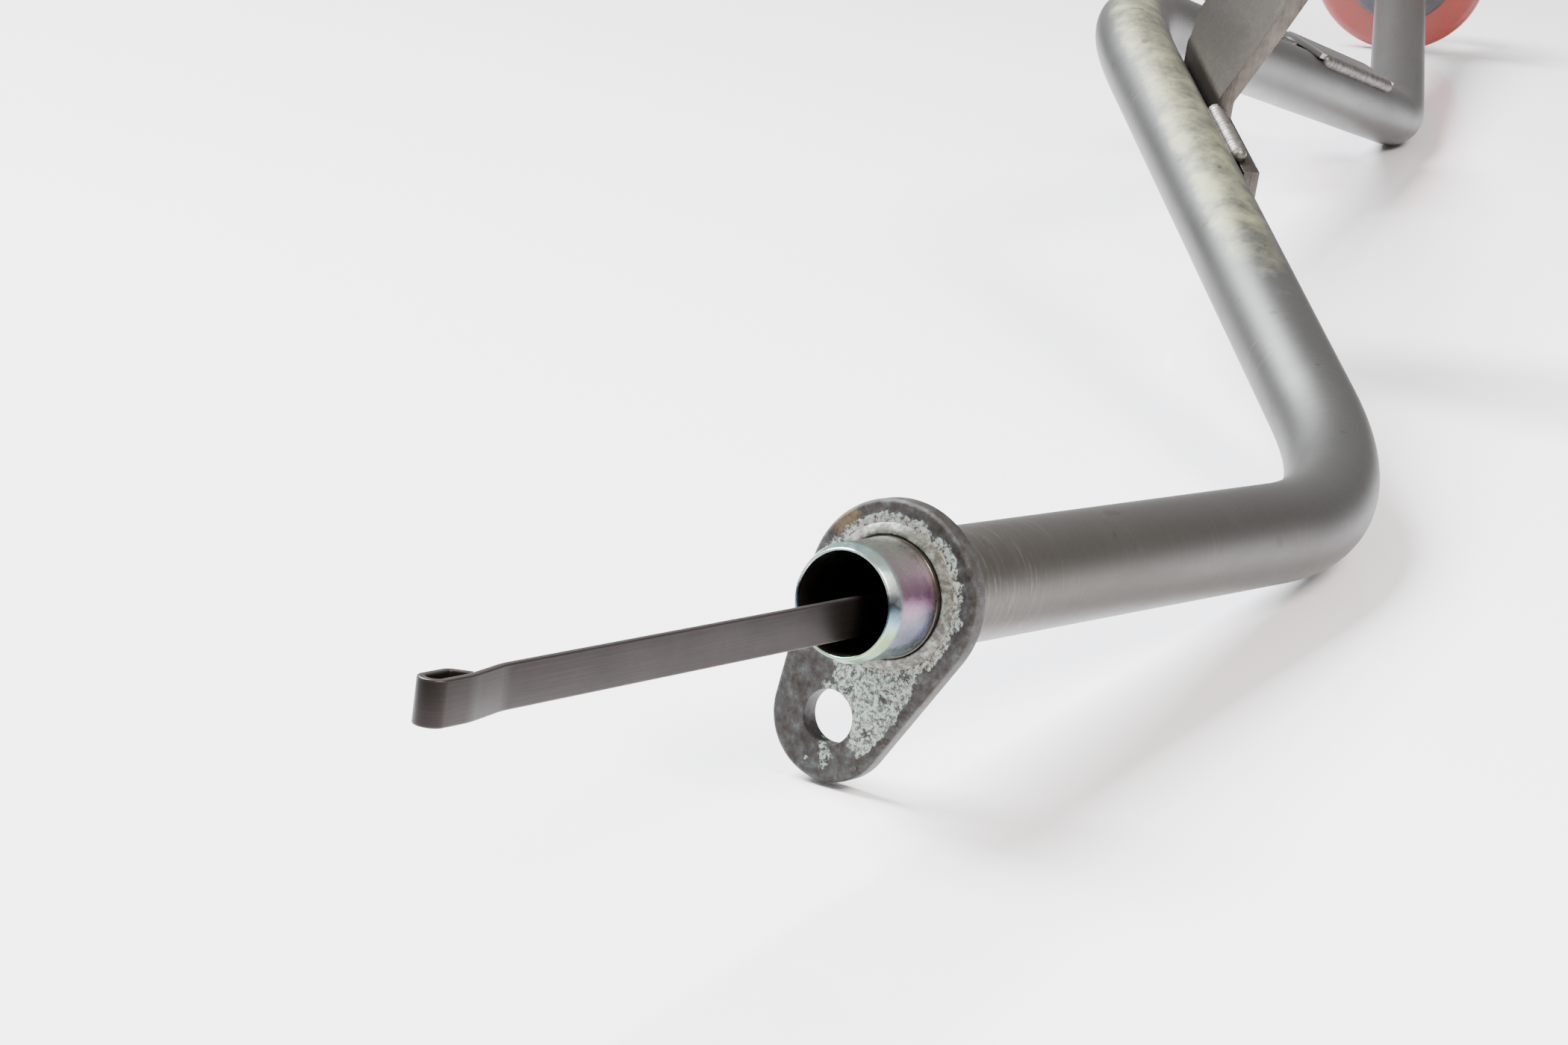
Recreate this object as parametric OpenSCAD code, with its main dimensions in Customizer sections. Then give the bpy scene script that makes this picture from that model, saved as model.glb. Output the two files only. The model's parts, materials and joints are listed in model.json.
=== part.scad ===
// Engine oil dipstick in its guide tube, lying on three points of its length.
// The origin is on the tube's axis at the flange's engine-side face. Millimetres and degrees.

/* [Guide tube] */
// Outside diameter of the guide tube
tube_od = 15; // [13:0.5:17]
// Wall of the guide tube
tube_wall = 1.2; // [1:0.1:1.5]
// Centre-line radius of the three bends
bend_r = 29; // [26:1:34]
// Diameter that the tube loses to the bender in each bend
bend_squeeze = 0.1; // [0.06:0.02:0.2]
// Flange face to the corner of the first bend, along the axis
span_1 = 143.3; // [120:0.1:170]
// First corner to the second corner
span_2 = 195.5; // [170:0.1:220]
// Second corner to the third corner
span_3 = 237.7; // [215:0.1:260]
// Third corner to the tube's top end
span_4 = 181.4; // [150:0.1:220]
// Angle of the first bend
bend_1 = 47.8; // [35:0.1:60]
// Angle of the second bend
bend_2 = 43.4; // [35:0.1:55]
// Angle of the third bend
bend_3 = 24.3; // [15:0.1:40]
// Turn of the tube in the bender before the first bend
roll_1 = 119; // [100:0.1:140]
// Turn of the tube before the second bend
roll_2 = 192.4; // [170:0.1:210]
// Turn of the tube before the third bend
roll_3 = 189.9; // [170:0.1:210]
// Compass direction in which the first run lies
run_azimuth = 57.2; // [0:0.1:90]
// Angle of the first run from the vertical
run_tilt = 97.6; // [90:0.1:100]

/* [Spigot] */
// How far the tube's end stands out of the flange
spigot_length = 10.8; // [8:0.1:14]
// Depth turned off the tube's end, so that it slides into the engine
spigot_cut = 0.2; // [0.2:0.05:0.4]
// Width of the chamfer round the tube's mouth, seen from the side
mouth_chamfer = 0.65; // [0.3:0.05:0.9]
// Length of that chamfer
mouth_chamfer_length = 1.4; // [0.8:0.1:2]

/* [Flange] */
// Thickness of the flange plate
flange_t = 2.8; // [2:0.1:4]
// Width of plate left round the tube
flange_rim = 4.4; // [3:0.1:6]
// Radius of the ear round the bolt hole
ear_r = 8.2; // [6.5:0.1:10]
// Tube axis to the bolt hole
ear_offset = 17.7; // [16:0.1:22]
// Turn of the ear about the tube
ear_roll = 20.3; // [0:0.1:40]
// Diameter of the bolt hole
flange_hole_d = 6.9; // [5.5:0.1:8.5]
// Rounding that the punch left on the engine-side edge
punch_round = 0.6; // [0.3:0.1:1]
// Leg of the brazed fillet on the engine side
braze_leg = 1.5; // [1:0.1:2.5]
// Leg of the weld behind the flange
weld_leg = 2.2; // [1.5:0.1:3]

/* [Support bracket at the second bend] */
// Sheet thickness of the support bracket
support_t = 3; // [2:0.1:4]
// Second corner back to the bracket's lower end
support_start = 80; // [70:0.5:90]
// Length of the leg that is welded along the tube
support_foot = 50; // [40:0.5:55]
// Width of that leg below the tube's side
support_depth = 8; // [5:0.5:12]
// Height of the fold above the tube's side
support_fold_height = 6; // [4:0.5:9]
// Angle of the fold
support_fold = 27; // [15:1:45]
// Place of the foot round the tube
support_clock = -38.3; // [-60:0.1:-20]
// Width of the standing leg at the fold
support_width = 27; // [22:0.5:34]
// Fold to the bolt hole
support_reach = 52; // [40:1:70]
// Bolt hole to the standing leg's edge
support_end_r = 9; // [7:0.5:12]
// Diameter of the bracket's bolt hole
support_hole_d = 8.5; // [6:0.1:10]

/* [Upper bracket at the third bend] */
// Sheet thickness of the upper bracket
upper_t = 1.6; // [1.2:0.1:2.5]
// Width of the upper bracket along the tube
upper_width = 70; // [60:0.5:80]
// Second corner to the middle of the upper bracket
upper_at = 170; // [160:0.5:180]
// Width of the foot on the tube
upper_foot = 9; // [7:0.5:12]
// Place of the foot round the tube
upper_clock = -104; // [-125:0.5:-95]
// Slant of the joggle behind the foot
upper_joggle = 3; // [2:0.5:5]
// Angle of the joggle
joggle_angle = 50; // [30:1:60]
// Length of the panel behind the joggle
upper_panel = 22; // [20:0.5:30]
// Diameter of the hole in the panel
upper_hole_d = 6.6; // [5:0.1:7]
// Corner radius of the panel
upper_corner = 6; // [3:0.5:9]
// Flat-to-flat size of the weld nut
nut_af = 10; // [9:0.1:12]
// Height of the weld nut
nut_h = 5; // [4:0.1:6]

/* [Blade] */
// Width of the spring-steel blade
blade_w = 5; // [4:0.1:6]
// Thickness of the blade
blade_t = 0.9; // [0.7:0.05:1.2]
// Tube's mouth to the crank near the blade's end
blade_out = 67; // [50:1:90]
// Length of the crank
crank_length = 7; // [4:0.5:10]
// Angle of the crank
crank_angle = 10; // [5:1:15]
// Length of the curled end
curl_length = 6; // [5:0.1:8]
// Inside radius of the curl
curl_r = 0.9; // [0.6:0.1:1.5]
// Lean of the blade towards the tube's wall in the first run
blade_lean = 0.9; // [0:0.05:1]
// Turn of that lean away from the plane of the first bend
blade_lean_roll = 20; // [0:1:40]

/* [Seal cap and handle] */
// Outside diameter of the rubber cap's rim
cap_d = 34; // [28:0.2:40]
// Thickness of the cap's sleeve round the tube
cap_wall = 2.6; // [2:0.1:4]
// Length of the cap's skirt over the tube
cap_skirt = 12; // [8:0.5:16]
// Thickness of the cap's floor
cap_floor = 3; // [2:0.1:4]
// Diameter of the handle's flange
handle_d = 54; // [48:0.5:60]
// Thickness of the handle's flange
handle_t = 6; // [4:0.5:8]
// Outside diameter of the pull ring
ring_d = 38; // [34:0.5:44]
// Diameter of the finger hole
finger_d = 22; // [18:0.5:26]
// Thickness of the pull ring
ring_t = 8; // [6:0.5:10]
// Diameter of the stem that plugs the tube
stem_d = 11.2; // [10.4:0.1:11.6]
// Length of the stem inside the tube
stem_length = 22; // [18:0.5:28]
// Depth of a sealing-ring groove
groove_depth = 0.7; // [0.5:0.05:0.9]
// Diameter of the cross pin that holds the blade
pin_d = 2; // [1.5:0.1:2.5]

/* [Fits] */
// Play round the cap, the stem's hole and the blade's slot
play = 0.1; // [0.05:0.01:0.2]

/* [Hidden] */
$fn = 96;
tube_r = tube_od / 2;
bore_r = tube_r - tube_wall;
spans = [span_1, span_2, span_3, span_4];
bends = [bend_1, bend_2, bend_3];
rolls = [roll_1, roll_2, roll_3];
flange_r = tube_r + flange_rim;
stem_r = stem_d / 2;
fold_r = 1.5;
leg_flare = 4;
braze_slope = 0.6;
spigot_r = tube_r - spigot_cut;
// The turned end starts just clear of the brazed fillet
shoulder_gap = 0.1;
spigot_base = braze_slope * braze_leg + shoulder_gap;
bead_r = 1.6;
bead_offset = 3.9;
bead_inset = 4;
upper_hole_z = nut_af;
nut_thread_d = upper_hole_d - 0.6;
cap_edge = 1;
ring_roll = 40;
ring_z = cap_floor + handle_t + ring_d / 2 - 1.5;
ring_heights = [-4, -8];
bend_lap = 0.4;
blade_end_in_stem = 14;

// Length of a bend's tangent, and of the straight run number n
function tangent(n) = n < 1 || n > 3 ? 0 : bend_r * tan(bends[n - 1] / 2);
function run(n) = spans[n - 1] - tangent(n - 1) - tangent(n);
// Turn of a flat strip that comes to the same plane as a turn of the tube
function half_turn(angle) = angle - 180 * round(angle / 180);
// -1 where that leaves the strip's other face towards the next bend
function flip(angle) = round(angle / 180) % 2 == 0 ? 1 : -1;

// Frame at the flange's engine-side face: z along the tube, x nearly straight down
module at_flange() {
    rotate([0, run_tilt, run_azimuth]) children();
}

// Frame at the start of bend n, turned so that the tube bends towards x
module at_bend(n) {
    after(n - 1) translate([0, 0, run(n)]) rotate([0, 0, rolls[n - 1]]) children();
}

// Frame at the end of bend n, or at the flange for 0
module after(n) {
    if (n == 0) at_flange() children();
    else at_bend(n)
        translate([bend_r * (1 - cos(bends[n - 1])), 0, bend_r * sin(bends[n - 1])])
            rotate([0, bends[n - 1], 0]) children();
}

// Frame at the tube's top end
module at_top() {
    after(3) translate([0, 0, run(4)]) children();
}

// Sweeps a profile round the bend that starts here
module elbow(angle) {
    translate([bend_r, 0, 0]) mirror([1, 0, 0]) rotate([90, 0, 0])
        rotate_extrude(angle = angle) translate([bend_r, 0]) children();
}

// Whole path of the tube's axis as one solid of radius r. The straight runs reach a little
// way into the bends, where the tube is a shade thinner.
module tube_path(r) {
    for (n = [1:4]) after(n - 1) translate([0, 0, n > 1 ? -bend_lap : 0])
        cylinder(r = r, h = run(n) + (n > 1 ? bend_lap : 0) + (n < 4 ? bend_lap : 0));
    for (n = [1:3]) at_bend(n) elbow(bends[n - 1]) circle(r - bend_squeeze / 2);
}

// Steps of a bent strip's path: [advance, turn towards x, twist], each made after the last
function arc_steps(angle, r, count) =
    [for (i = [1:count]) [abs(angle) / count * r * PI / 180, angle / count, 0]];
function run_steps(length, twist, count) =
    [for (i = [1:count]) [length / count, 0, twist / count]];

// 4 x 4 matrices of one step: half the turn, the advance along z, the other half and the twist
function turn_y(a) = [[cos(a), 0, sin(a), 0], [0, 1, 0, 0], [-sin(a), 0, cos(a), 0], [0, 0, 0, 1]];
function turn_z(a) = [[cos(a), -sin(a), 0, 0], [sin(a), cos(a), 0, 0], [0, 0, 1, 0], [0, 0, 0, 1]];
function advance(z) = [[1, 0, 0, 0], [0, 1, 0, 0], [0, 0, 1, z], [0, 0, 0, 1]];
function step_matrix(s) = turn_y(s[1] / 2) * advance(s[0]) * turn_y(s[1] / 2) * turn_z(s[2]);
function frames(steps) = [for (i = 0, m = advance(0); i <= len(steps);
    m = m * step_matrix(i < len(steps) ? steps[i] : [0, 0, 0]), i = i + 1) m];

// Steps of a sheet's middle layer in one fold
function fold_steps(angle, t) = arc_steps(angle, fold_r + t / 2, 6);

// Sheet bent along its steps: it starts along y, with its width along z and its thickness
// from 0 along x
module bent_sheet(steps, t, width) {
    path = frames(steps);
    near = [for (m = path) m * [0, 0, 0, 1] - m * [t / 2, 0, 0, 0]];
    far = [for (i = [len(path) - 1:-1:0]) path[i] * [0, 0, 0, 1] + path[i] * [t / 2, 0, 0, 0]];
    linear_extrude(width) polygon([for (p = concat(near, far)) [p[0] + t / 2, p[2]]]);
}

// Frame where the sheet's steps end: y along the sheet, x through it
module at_sheet_end(steps, t) {
    y_up = [[1, 0, 0, 0], [0, 0, 1, 0], [0, 1, 0, 0], [0, 0, 0, 1]];
    path = frames(steps);
    translate([t / 2, 0, 0]) multmatrix(y_up * path[len(path) - 1] * y_up)
        translate([-t / 2, 0, 0]) children();
}

// Cutter through a sheet: the outline's x runs along z and its y along y
module through(t) {
    translate([-1, 0, 0]) rotate([0, -90, 0]) mirror([0, 0, 1]) linear_extrude(t + 2) children();
}

// Rectangle with round corners, its lower left corner at the origin
module round_rect(size, r) {
    translate([r, 0]) square([size[0] - 2 * r, size[1]]);
    translate([0, r]) square([size[0], size[1] - 2 * r]);
    for (x = [r, size[0] - r], y = [r, size[1] - r]) translate([x, y]) circle(r);
}

module guide_tube() color("#8d8f8b") difference() {
    union() {
        tube_path(tube_r);
        at_flange() translate([0, 0, -spigot_base]) cylinder(r = tube_r, h = spigot_base);
        at_flange() translate([0, 0, -spigot_length + mouth_chamfer_length])
            cylinder(r = spigot_r, h = spigot_length - mouth_chamfer_length - spigot_base);
        at_flange() translate([0, 0, -spigot_length])
            cylinder(r1 = spigot_r - mouth_chamfer, r2 = spigot_r, h = mouth_chamfer_length);
    }
    tube_path(bore_r);
    at_flange() translate([0, 0, -spigot_length - 1]) cylinder(r = bore_r, h = spigot_length + 1);
}

// Disc with the punch's rounding on its engine-side edge
module punched_disc(r) rotate_extrude($fn = 64) {
    square([r - punch_round, flange_t]);
    translate([0, punch_round]) square([r, flange_t - punch_round]);
    translate([r - punch_round, punch_round]) intersection() {
        circle(punch_round, $fn = 24);
        translate([0, -punch_round]) square(punch_round);
    }
}

module engine_flange() color("#6f706c") at_flange() difference() {
    hull() {
        punched_disc(flange_r);
        rotate([0, 0, ear_roll]) translate([ear_offset, 0, 0]) punched_disc(ear_r);
    }
    translate([0, 0, -1]) cylinder(r = tube_r, h = flange_t + 2);
    rotate([0, 0, ear_roll]) translate([ear_offset, 0, -1])
        cylinder(d = flange_hole_d, h = flange_t + 2);
}

module flange_braze() color("#a7a79c") at_flange() {
    rotate_extrude() polygon([[tube_r, 0], [tube_r + braze_leg, 0], [tube_r, -braze_slope * braze_leg]]);
    translate([0, 0, flange_t])
        rotate_extrude() polygon([[tube_r, 0], [tube_r + weld_leg, 0], [tube_r, weld_leg]]);
}

// Frame of the support bracket: y up the foot towards its fold, z along the tube, x outwards
module at_support() {
    at_bend(2) rotate([0, 0, support_clock])
        mirror([0, 1, 0]) translate([tube_r, -support_depth, tangent(2) - support_start]) children();
}

// Outline of the standing leg: x along the tube, y away from the fold
module standing_leg() {
    top_x = support_end_r + leg_flare / 2;
    wide = support_width + leg_flare;
    difference() {
        hull() {
            polygon([[0, -leg_flare], [support_width, -leg_flare], [support_width, 0],
                     [wide, leg_flare], [wide, 3 * leg_flare], [0, 3 * leg_flare]]);
            translate([top_x, support_reach]) circle(support_end_r);
        }
        translate([top_x, support_reach]) circle(d = support_hole_d);
    }
}

support_step = support_foot - support_width;
support_foot_top = support_depth + support_fold_height;
support_bent = [[support_foot_top, 0, 0], each fold_steps(support_fold, support_t)];
support_leg = support_reach + support_end_r;

module support_bracket() color("#5c5852") at_support() difference() {
    bent_sheet([each support_bent, [support_leg, 0, 0]], support_t, support_foot + leg_flare);
    translate([-1, support_depth + support_t, -1]) cube([support_t + 2, support_leg, support_step + 1]);
    translate([-1, -1, support_foot]) cube([support_t + 2, support_foot_top + 1, leg_flare + 1]);
    at_sheet_end(support_bent, support_t) translate([0, 0, support_step])
        through(support_t) difference() {
            translate([-support_foot, -fold_r]) square([2 * support_foot + leg_flare, 2 * support_leg]);
            standing_leg();
        }
}

// Beads above and below the foot, in the gap that the tube's curve leaves
module support_weld() color("#77736b") difference() {
    at_support() for (side = [-1, 1])
        translate([0, support_depth + side * bead_offset, bead_inset])
            cylinder(r = bead_r, h = support_step - bead_inset / 2);
    tube_path(tube_r);
    support_bracket();
}

// Frame of the upper bracket: x outwards from the tube, y backwards, z along the tube
module at_upper() {
    after(2) rotate([0, 0, upper_clock]) mirror([0, 1, 0])
        translate([tube_r, -upper_foot / 3, upper_at - tangent(2) - upper_width / 2]) children();
}

// Foot and joggle of the upper bracket, up to its panel
upper_bent = [[upper_foot, 0, 0], each fold_steps(-joggle_angle, upper_t), [upper_joggle, 0, 0],
              each fold_steps(joggle_angle, upper_t)];

// Middle of the panel's hole, with z out of the panel's outer face
module at_upper_hole() {
    at_sheet_end(upper_bent, upper_t)
        translate([upper_t, upper_panel / 2, upper_hole_z]) rotate([0, 90, 0]) children();
}

module upper_bracket() color("#a9a9a5") at_upper() difference() {
    bent_sheet([each upper_bent, [upper_panel, 0, 0]], upper_t, upper_width);
    at_sheet_end(upper_bent, upper_t) through(upper_t) for (side = [0, 1])
        translate([side * upper_width, upper_panel]) mirror([side, 0]) difference() {
            translate([-1, -upper_corner]) square(upper_corner + 1);
            translate([upper_corner, -upper_corner]) circle(upper_corner);
        }
    at_upper_hole() translate([0, 0, -upper_t - 1]) cylinder(d = upper_hole_d, h = upper_t + 2);
}

module upper_weld() color("#8f8f88") difference() {
    at_upper() for (y = [0, upper_foot - 1])
        translate([0, y, bead_inset]) cylinder(r = bead_r, h = upper_width - 2 * bead_inset);
    tube_path(tube_r);
    upper_bracket();
}

module weld_nut() color("#b79a4a") at_upper() at_upper_hole() difference() {
    cylinder(d = nut_af / cos(30), h = nut_h, $fn = 6);
    translate([0, 0, -1]) cylinder(d = nut_thread_d, h = nut_h + 2);
}

// From the stem down the tube and out of its mouth, as a strip that bends the easy way
blade_steps = [
    each run_steps(run(4) - stem_length + blade_end_in_stem, 0, 2),
    each arc_steps(bend_3, bend_r, 6),
    each run_steps(run(3), half_turn(rolls[2]), 8),
    each arc_steps(bend_2 * flip(roll_3), bend_r, 8),
    each run_steps(run(2), half_turn(rolls[1]), 8),
    each arc_steps(bend_1 * flip(roll_3) * flip(roll_2), bend_r, 8),
    [0, 0, -blade_lean_roll],
    [0, -blade_lean, 0],
    [0, 0, blade_lean_roll],
    each run_steps(run(1), half_turn(roll_1 - 90), 10),
    each run_steps(spigot_length + blade_out, 0, 2),
    each arc_steps(-crank_angle, fold_r, 2),
    [crank_length, 0, 0],
    each arc_steps(crank_angle, fold_r, 2),
    [curl_length - curl_r - blade_t, 0, 0],
    each arc_steps(180, curl_r + blade_t / 2, 10),
    [curl_length - curl_r - blade_t, 0, 0],
    each arc_steps(70, curl_r, 4),
    [curl_r, 0, 0]
];
blade_frames = frames(blade_steps);

module dipstick_blade() color("#4a423c") at_top() difference() {
    translate([0, 0, blade_end_in_stem - stem_length]) rotate([180, 0, 0]) blade_strip();
    at_pin() cylinder(d = pin_d, h = stem_d, center = true);
}

module blade_strip() {
    corners = [for (s = [[-1, -1], [1, -1], [1, 1], [-1, 1]])
        [s[0] * blade_t / 2, s[1] * blade_w / 2, 0, 1]];
    points = [for (m = blade_frames) each [for (c = corners) let (p = m * c) [p[0], p[1], p[2]]]];
    last = len(blade_frames) - 1;
    polyhedron(points, [
        [3, 2, 1], [3, 1, 0],
        for (i = [0:last - 1], k = [0:3]) each let (a = 4 * i + k, b = 4 * i + (k + 1) % 4)
            [[a, b, b + 4], [a, b + 4, a + 4]],
        [4 * last, 4 * last + 1, 4 * last + 2], [4 * last, 4 * last + 2, 4 * last + 3]
    ]);
}

module blade_pin() color("#9b9b98") at_top() at_pin() cylinder(d = pin_d, h = stem_d, center = true);

// Middle of the cross pin, with z along it
module at_pin() {
    translate([0, 0, (blade_end_in_stem - 2 * stem_length) / 2]) rotate([0, 90, 0]) children();
}

// Sleeve round the tube's end, with a wide rim under the handle
module seal_cap() color("#3a3a3c") at_top() rotate_extrude() difference() {
    union() {
        translate([0, -cap_skirt]) square([tube_r + play + cap_wall, cap_skirt + cap_floor]);
        translate([-cap_d / 2, 0]) round_rect([cap_d, cap_floor], cap_edge);
    }
    translate([-cap_d, -cap_skirt - 1]) square([cap_d, 2 * cap_skirt]);
    translate([0, -cap_skirt - 1]) square([tube_r + play, cap_skirt + 1]);
    translate([0, -1]) square([stem_r + play, cap_floor + 2]);
}

// Stem with its grooves, slot and pin hole, the round flange and the pull ring
module handle() color("#9a3328") at_top() difference() {
    union() {
        translate([0, 0, -stem_length]) cylinder(r = stem_r, h = stem_length + cap_floor + 1);
        translate([0, 0, cap_floor]) rotate_extrude() {
            translate([-handle_d / 2, 0]) intersection() {
                round_rect([handle_d, handle_t], handle_t / 3);
                translate([handle_d / 2, 0]) square([handle_d, handle_t]);
            }
        }
        translate([0, 0, ring_z]) rotate([0, 0, ring_roll]) rotate([0, 90, 0])
            rotate_extrude() translate([finger_d / 2, -ring_t / 2])
                round_rect([(ring_d - finger_d) / 2, ring_t], ring_t / 4);
    }
    for (z = ring_heights) translate([0, 0, z - groove_depth]) difference() {
        cylinder(r = stem_r + 1, h = 2 * groove_depth);
        translate([0, 0, -1]) cylinder(r = bore_r - 2 * groove_depth, h = 4);
    }
    translate([-blade_t / 2 - play / 2, -blade_w / 2 - play / 2, -stem_length - 1])
        cube([blade_t + play, blade_w + play, blade_end_in_stem + 1]);
    at_pin() cylinder(d = pin_d, h = stem_d + 1, center = true);
}

module sealing_rings() color("#2c2c2e") at_top() for (z = ring_heights)
    translate([0, 0, z]) rotate_extrude() translate([bore_r - groove_depth, 0]) circle(groove_depth);

guide_tube();
engine_flange();
flange_braze();
support_bracket();
support_weld();
upper_bracket();
upper_weld();
weld_nut();
dipstick_blade();
blade_pin();
seal_cap();
handle();
sealing_rings();
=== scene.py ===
import json
import math
from functools import partial

import bmesh
import bpy
from bpy.props import FloatProperty, FloatVectorProperty, PointerProperty
from mathutils import Matrix, Vector

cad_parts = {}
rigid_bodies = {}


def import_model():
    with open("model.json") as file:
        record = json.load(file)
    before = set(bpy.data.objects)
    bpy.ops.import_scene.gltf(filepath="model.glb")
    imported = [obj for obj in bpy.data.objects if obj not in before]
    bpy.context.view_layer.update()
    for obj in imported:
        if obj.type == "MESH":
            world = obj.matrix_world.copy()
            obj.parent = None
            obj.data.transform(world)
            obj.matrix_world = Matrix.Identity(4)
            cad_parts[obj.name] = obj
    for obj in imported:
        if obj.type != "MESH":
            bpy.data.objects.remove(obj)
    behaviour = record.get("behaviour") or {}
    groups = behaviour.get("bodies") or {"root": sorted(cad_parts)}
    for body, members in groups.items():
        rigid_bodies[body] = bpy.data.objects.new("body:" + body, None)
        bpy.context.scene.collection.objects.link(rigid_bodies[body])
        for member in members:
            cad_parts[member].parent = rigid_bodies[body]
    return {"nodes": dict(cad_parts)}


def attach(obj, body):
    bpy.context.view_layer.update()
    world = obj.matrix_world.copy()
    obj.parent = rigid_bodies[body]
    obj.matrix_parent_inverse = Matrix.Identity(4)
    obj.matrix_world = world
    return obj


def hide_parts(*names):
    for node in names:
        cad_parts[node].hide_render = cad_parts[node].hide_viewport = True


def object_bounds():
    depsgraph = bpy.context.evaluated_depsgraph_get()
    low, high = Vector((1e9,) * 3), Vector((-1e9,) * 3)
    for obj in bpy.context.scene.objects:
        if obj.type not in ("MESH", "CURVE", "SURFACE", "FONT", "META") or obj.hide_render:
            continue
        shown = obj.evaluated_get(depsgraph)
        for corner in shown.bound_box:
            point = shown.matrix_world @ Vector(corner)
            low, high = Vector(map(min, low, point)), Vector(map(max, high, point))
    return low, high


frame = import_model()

CAD_BOX = [list(corner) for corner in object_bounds()]

bl_info = {
    "name": "Engine oil dipstick",
    "version": (1, 0, 0),
    "blender": (4, 5, 0),
    "location": "View3D > Sidebar > Dipstick",
    "description": "An oil dipstick in its bent guide tube, dressed over the packed solids",
    "category": "Object",
}

MM = 0.001


# ---------------------------------------------------------------- colours and nodes

def paint(hex_colour):
    """An sRGB hex colour as the linear value that a socket takes."""
    parts = [int(hex_colour[i:i + 2], 16) / 255 for i in (1, 3, 5)]
    return tuple(c / 12.92 if c <= 0.04045 else ((c + 0.055) / 1.055) ** 2.4 for c in parts) + (1.0,)


def node(tree, kind, feeds=(), take=0, **settings):
    """Adds a node, or takes one that is there, with its settings, values and links. A list of feeds
    goes to the inputs in use, in their order. It gives back the output named by take, the first in
    use for 0, or the node for None."""
    made = tree.nodes.new("ShaderNode" + kind) if isinstance(kind, str) else kind
    for name, value in settings.items():
        if name == "stops":
            ramp = made.color_ramp.elements
            while len(ramp) < len(value):
                ramp.new(0.5)
            for stop, (place, colour) in zip(ramp, value):
                stop.position, stop.color = place, paint(colour) if isinstance(colour, str) else colour
        else:
            setattr(made, name, value)
    if isinstance(feeds, dict):
        pairs = [(made.inputs[name], value) for name, value in feeds.items()]
    else:
        pairs = zip([socket for socket in made.inputs if socket.enabled], feeds)
    for socket, value in pairs:
        if isinstance(value, bpy.types.NodeSocket):
            tree.links.new(value, socket)
        else:
            socket.default_value = paint(value) if isinstance(value, str) else value
    if take is None:
        return made
    return made.outputs[take] if take else next(socket for socket in made.outputs if socket.enabled)


def finish(name, **values):
    """A new material, the node function for its tree, and its shader with the uniform values set."""
    material = bpy.data.materials.new(name)
    material.use_nodes = True
    shader = material.node_tree.nodes["Principled BSDF"]
    for socket, value in values.items():
        shader.inputs[socket].default_value = value
    return material, partial(node, material.node_tree), shader


def tint(add, base, hex_colour, pattern, low, high, most=1.0):
    """Colours the base as a pattern goes from low to high, and by most at the end."""
    amount = add("MapRange", [pattern, low, high, 0.0, most])
    return add("Mix", [amount, base, hex_colour], data_type="RGBA")


def surface(material, add, shader, base, rough, height, strength, depth, **more):
    """Links a finish's colour, roughness and relief, whose depth is in millimetres."""
    bump = add("Bump", {"Strength": strength, "Distance": depth * MM, "Height": height})
    add(shader, {"Base Color": base, "Roughness": rough, "Normal": bump, **more})
    return material


# ---------------------------------------------------------------- sizes and colours

def in_mm(name, text, *mm):
    """A size, given here in millimetres. Several make a list."""
    if len(mm) == 1:
        return FloatProperty(name=name, description=text, default=mm[0] * MM, unit="LENGTH")
    return FloatVectorProperty(name=name, description=text, size=len(mm), default=[v * MM for v in mm],
                               unit="LENGTH")


def in_degrees(name, text, *degrees):
    """An angle, given here in degrees. Several make a list."""
    if len(degrees) == 1:
        return FloatProperty(name=name, description=text, default=math.radians(degrees[0]), unit="ROTATION")
    return FloatVectorProperty(name=name, description=text, size=len(degrees),
                               default=[math.radians(v) for v in degrees], unit="ROTATION")


def in_hex(name, text, hex_colour):
    return FloatVectorProperty(name=name, description=text, size=4, default=paint(hex_colour),
                               subtype="COLOR")


class TubeSettings(bpy.types.PropertyGroup):
    diameter: in_mm("Diameter", "Outside diameter of the guide tube", 15)
    wall: in_mm("Wall", "Thickness of the tube's wall", 1.2)
    radii: in_mm("Bend radii", "Centre-line radius of each bend", 75, 75, 45)
    spans: in_mm("Spans", "Flange, corners and top end, one to the next", 143.3, 195.5, 237.7, 181.4)
    bends: in_degrees("Bends", "Angle of each bend", 47.8, 43.4, 24.3)
    rolls: in_degrees("Rolls", "Turn of the tube before each bend", 119, 192.4, 189.9)
    azimuth: in_degrees("Azimuth", "Direction in which the first run lies", 57.2)
    tilt: in_degrees("Tilt", "Angle of the first run from the vertical", 97.6)
    spigot: in_mm("Spigot", "How far the tube stands out of the flange", 10.8)
    cut: in_mm("Spigot cut", "Depth turned off the tube's end", 0.2)
    metal: in_hex("Metal", "Colour of the dulled zinc", "#4e4e4c")


class FlangeSettings(bpy.types.PropertyGroup):
    thickness: in_mm("Thickness", "Thickness of the plate", 2.8)
    rim: in_mm("Rim", "Width of plate round the tube", 4.4)
    ear_radius: in_mm("Ear radius", "Radius of the ear round the hole", 8.2)
    ear_offset: in_mm("Ear offset", "Tube axis to the bolt hole", 17.7)
    ear_roll: in_degrees("Ear roll", "Turn of the ear about the tube", 20.3)
    hole: in_mm("Hole", "Diameter of the bolt hole", 6.9)
    bare: in_hex("Bare steel", "Colour of the bare plate", "#383634")
    bloom: in_hex("Zinc bloom", "Colour of the white corrosion", "#95a198")


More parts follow.
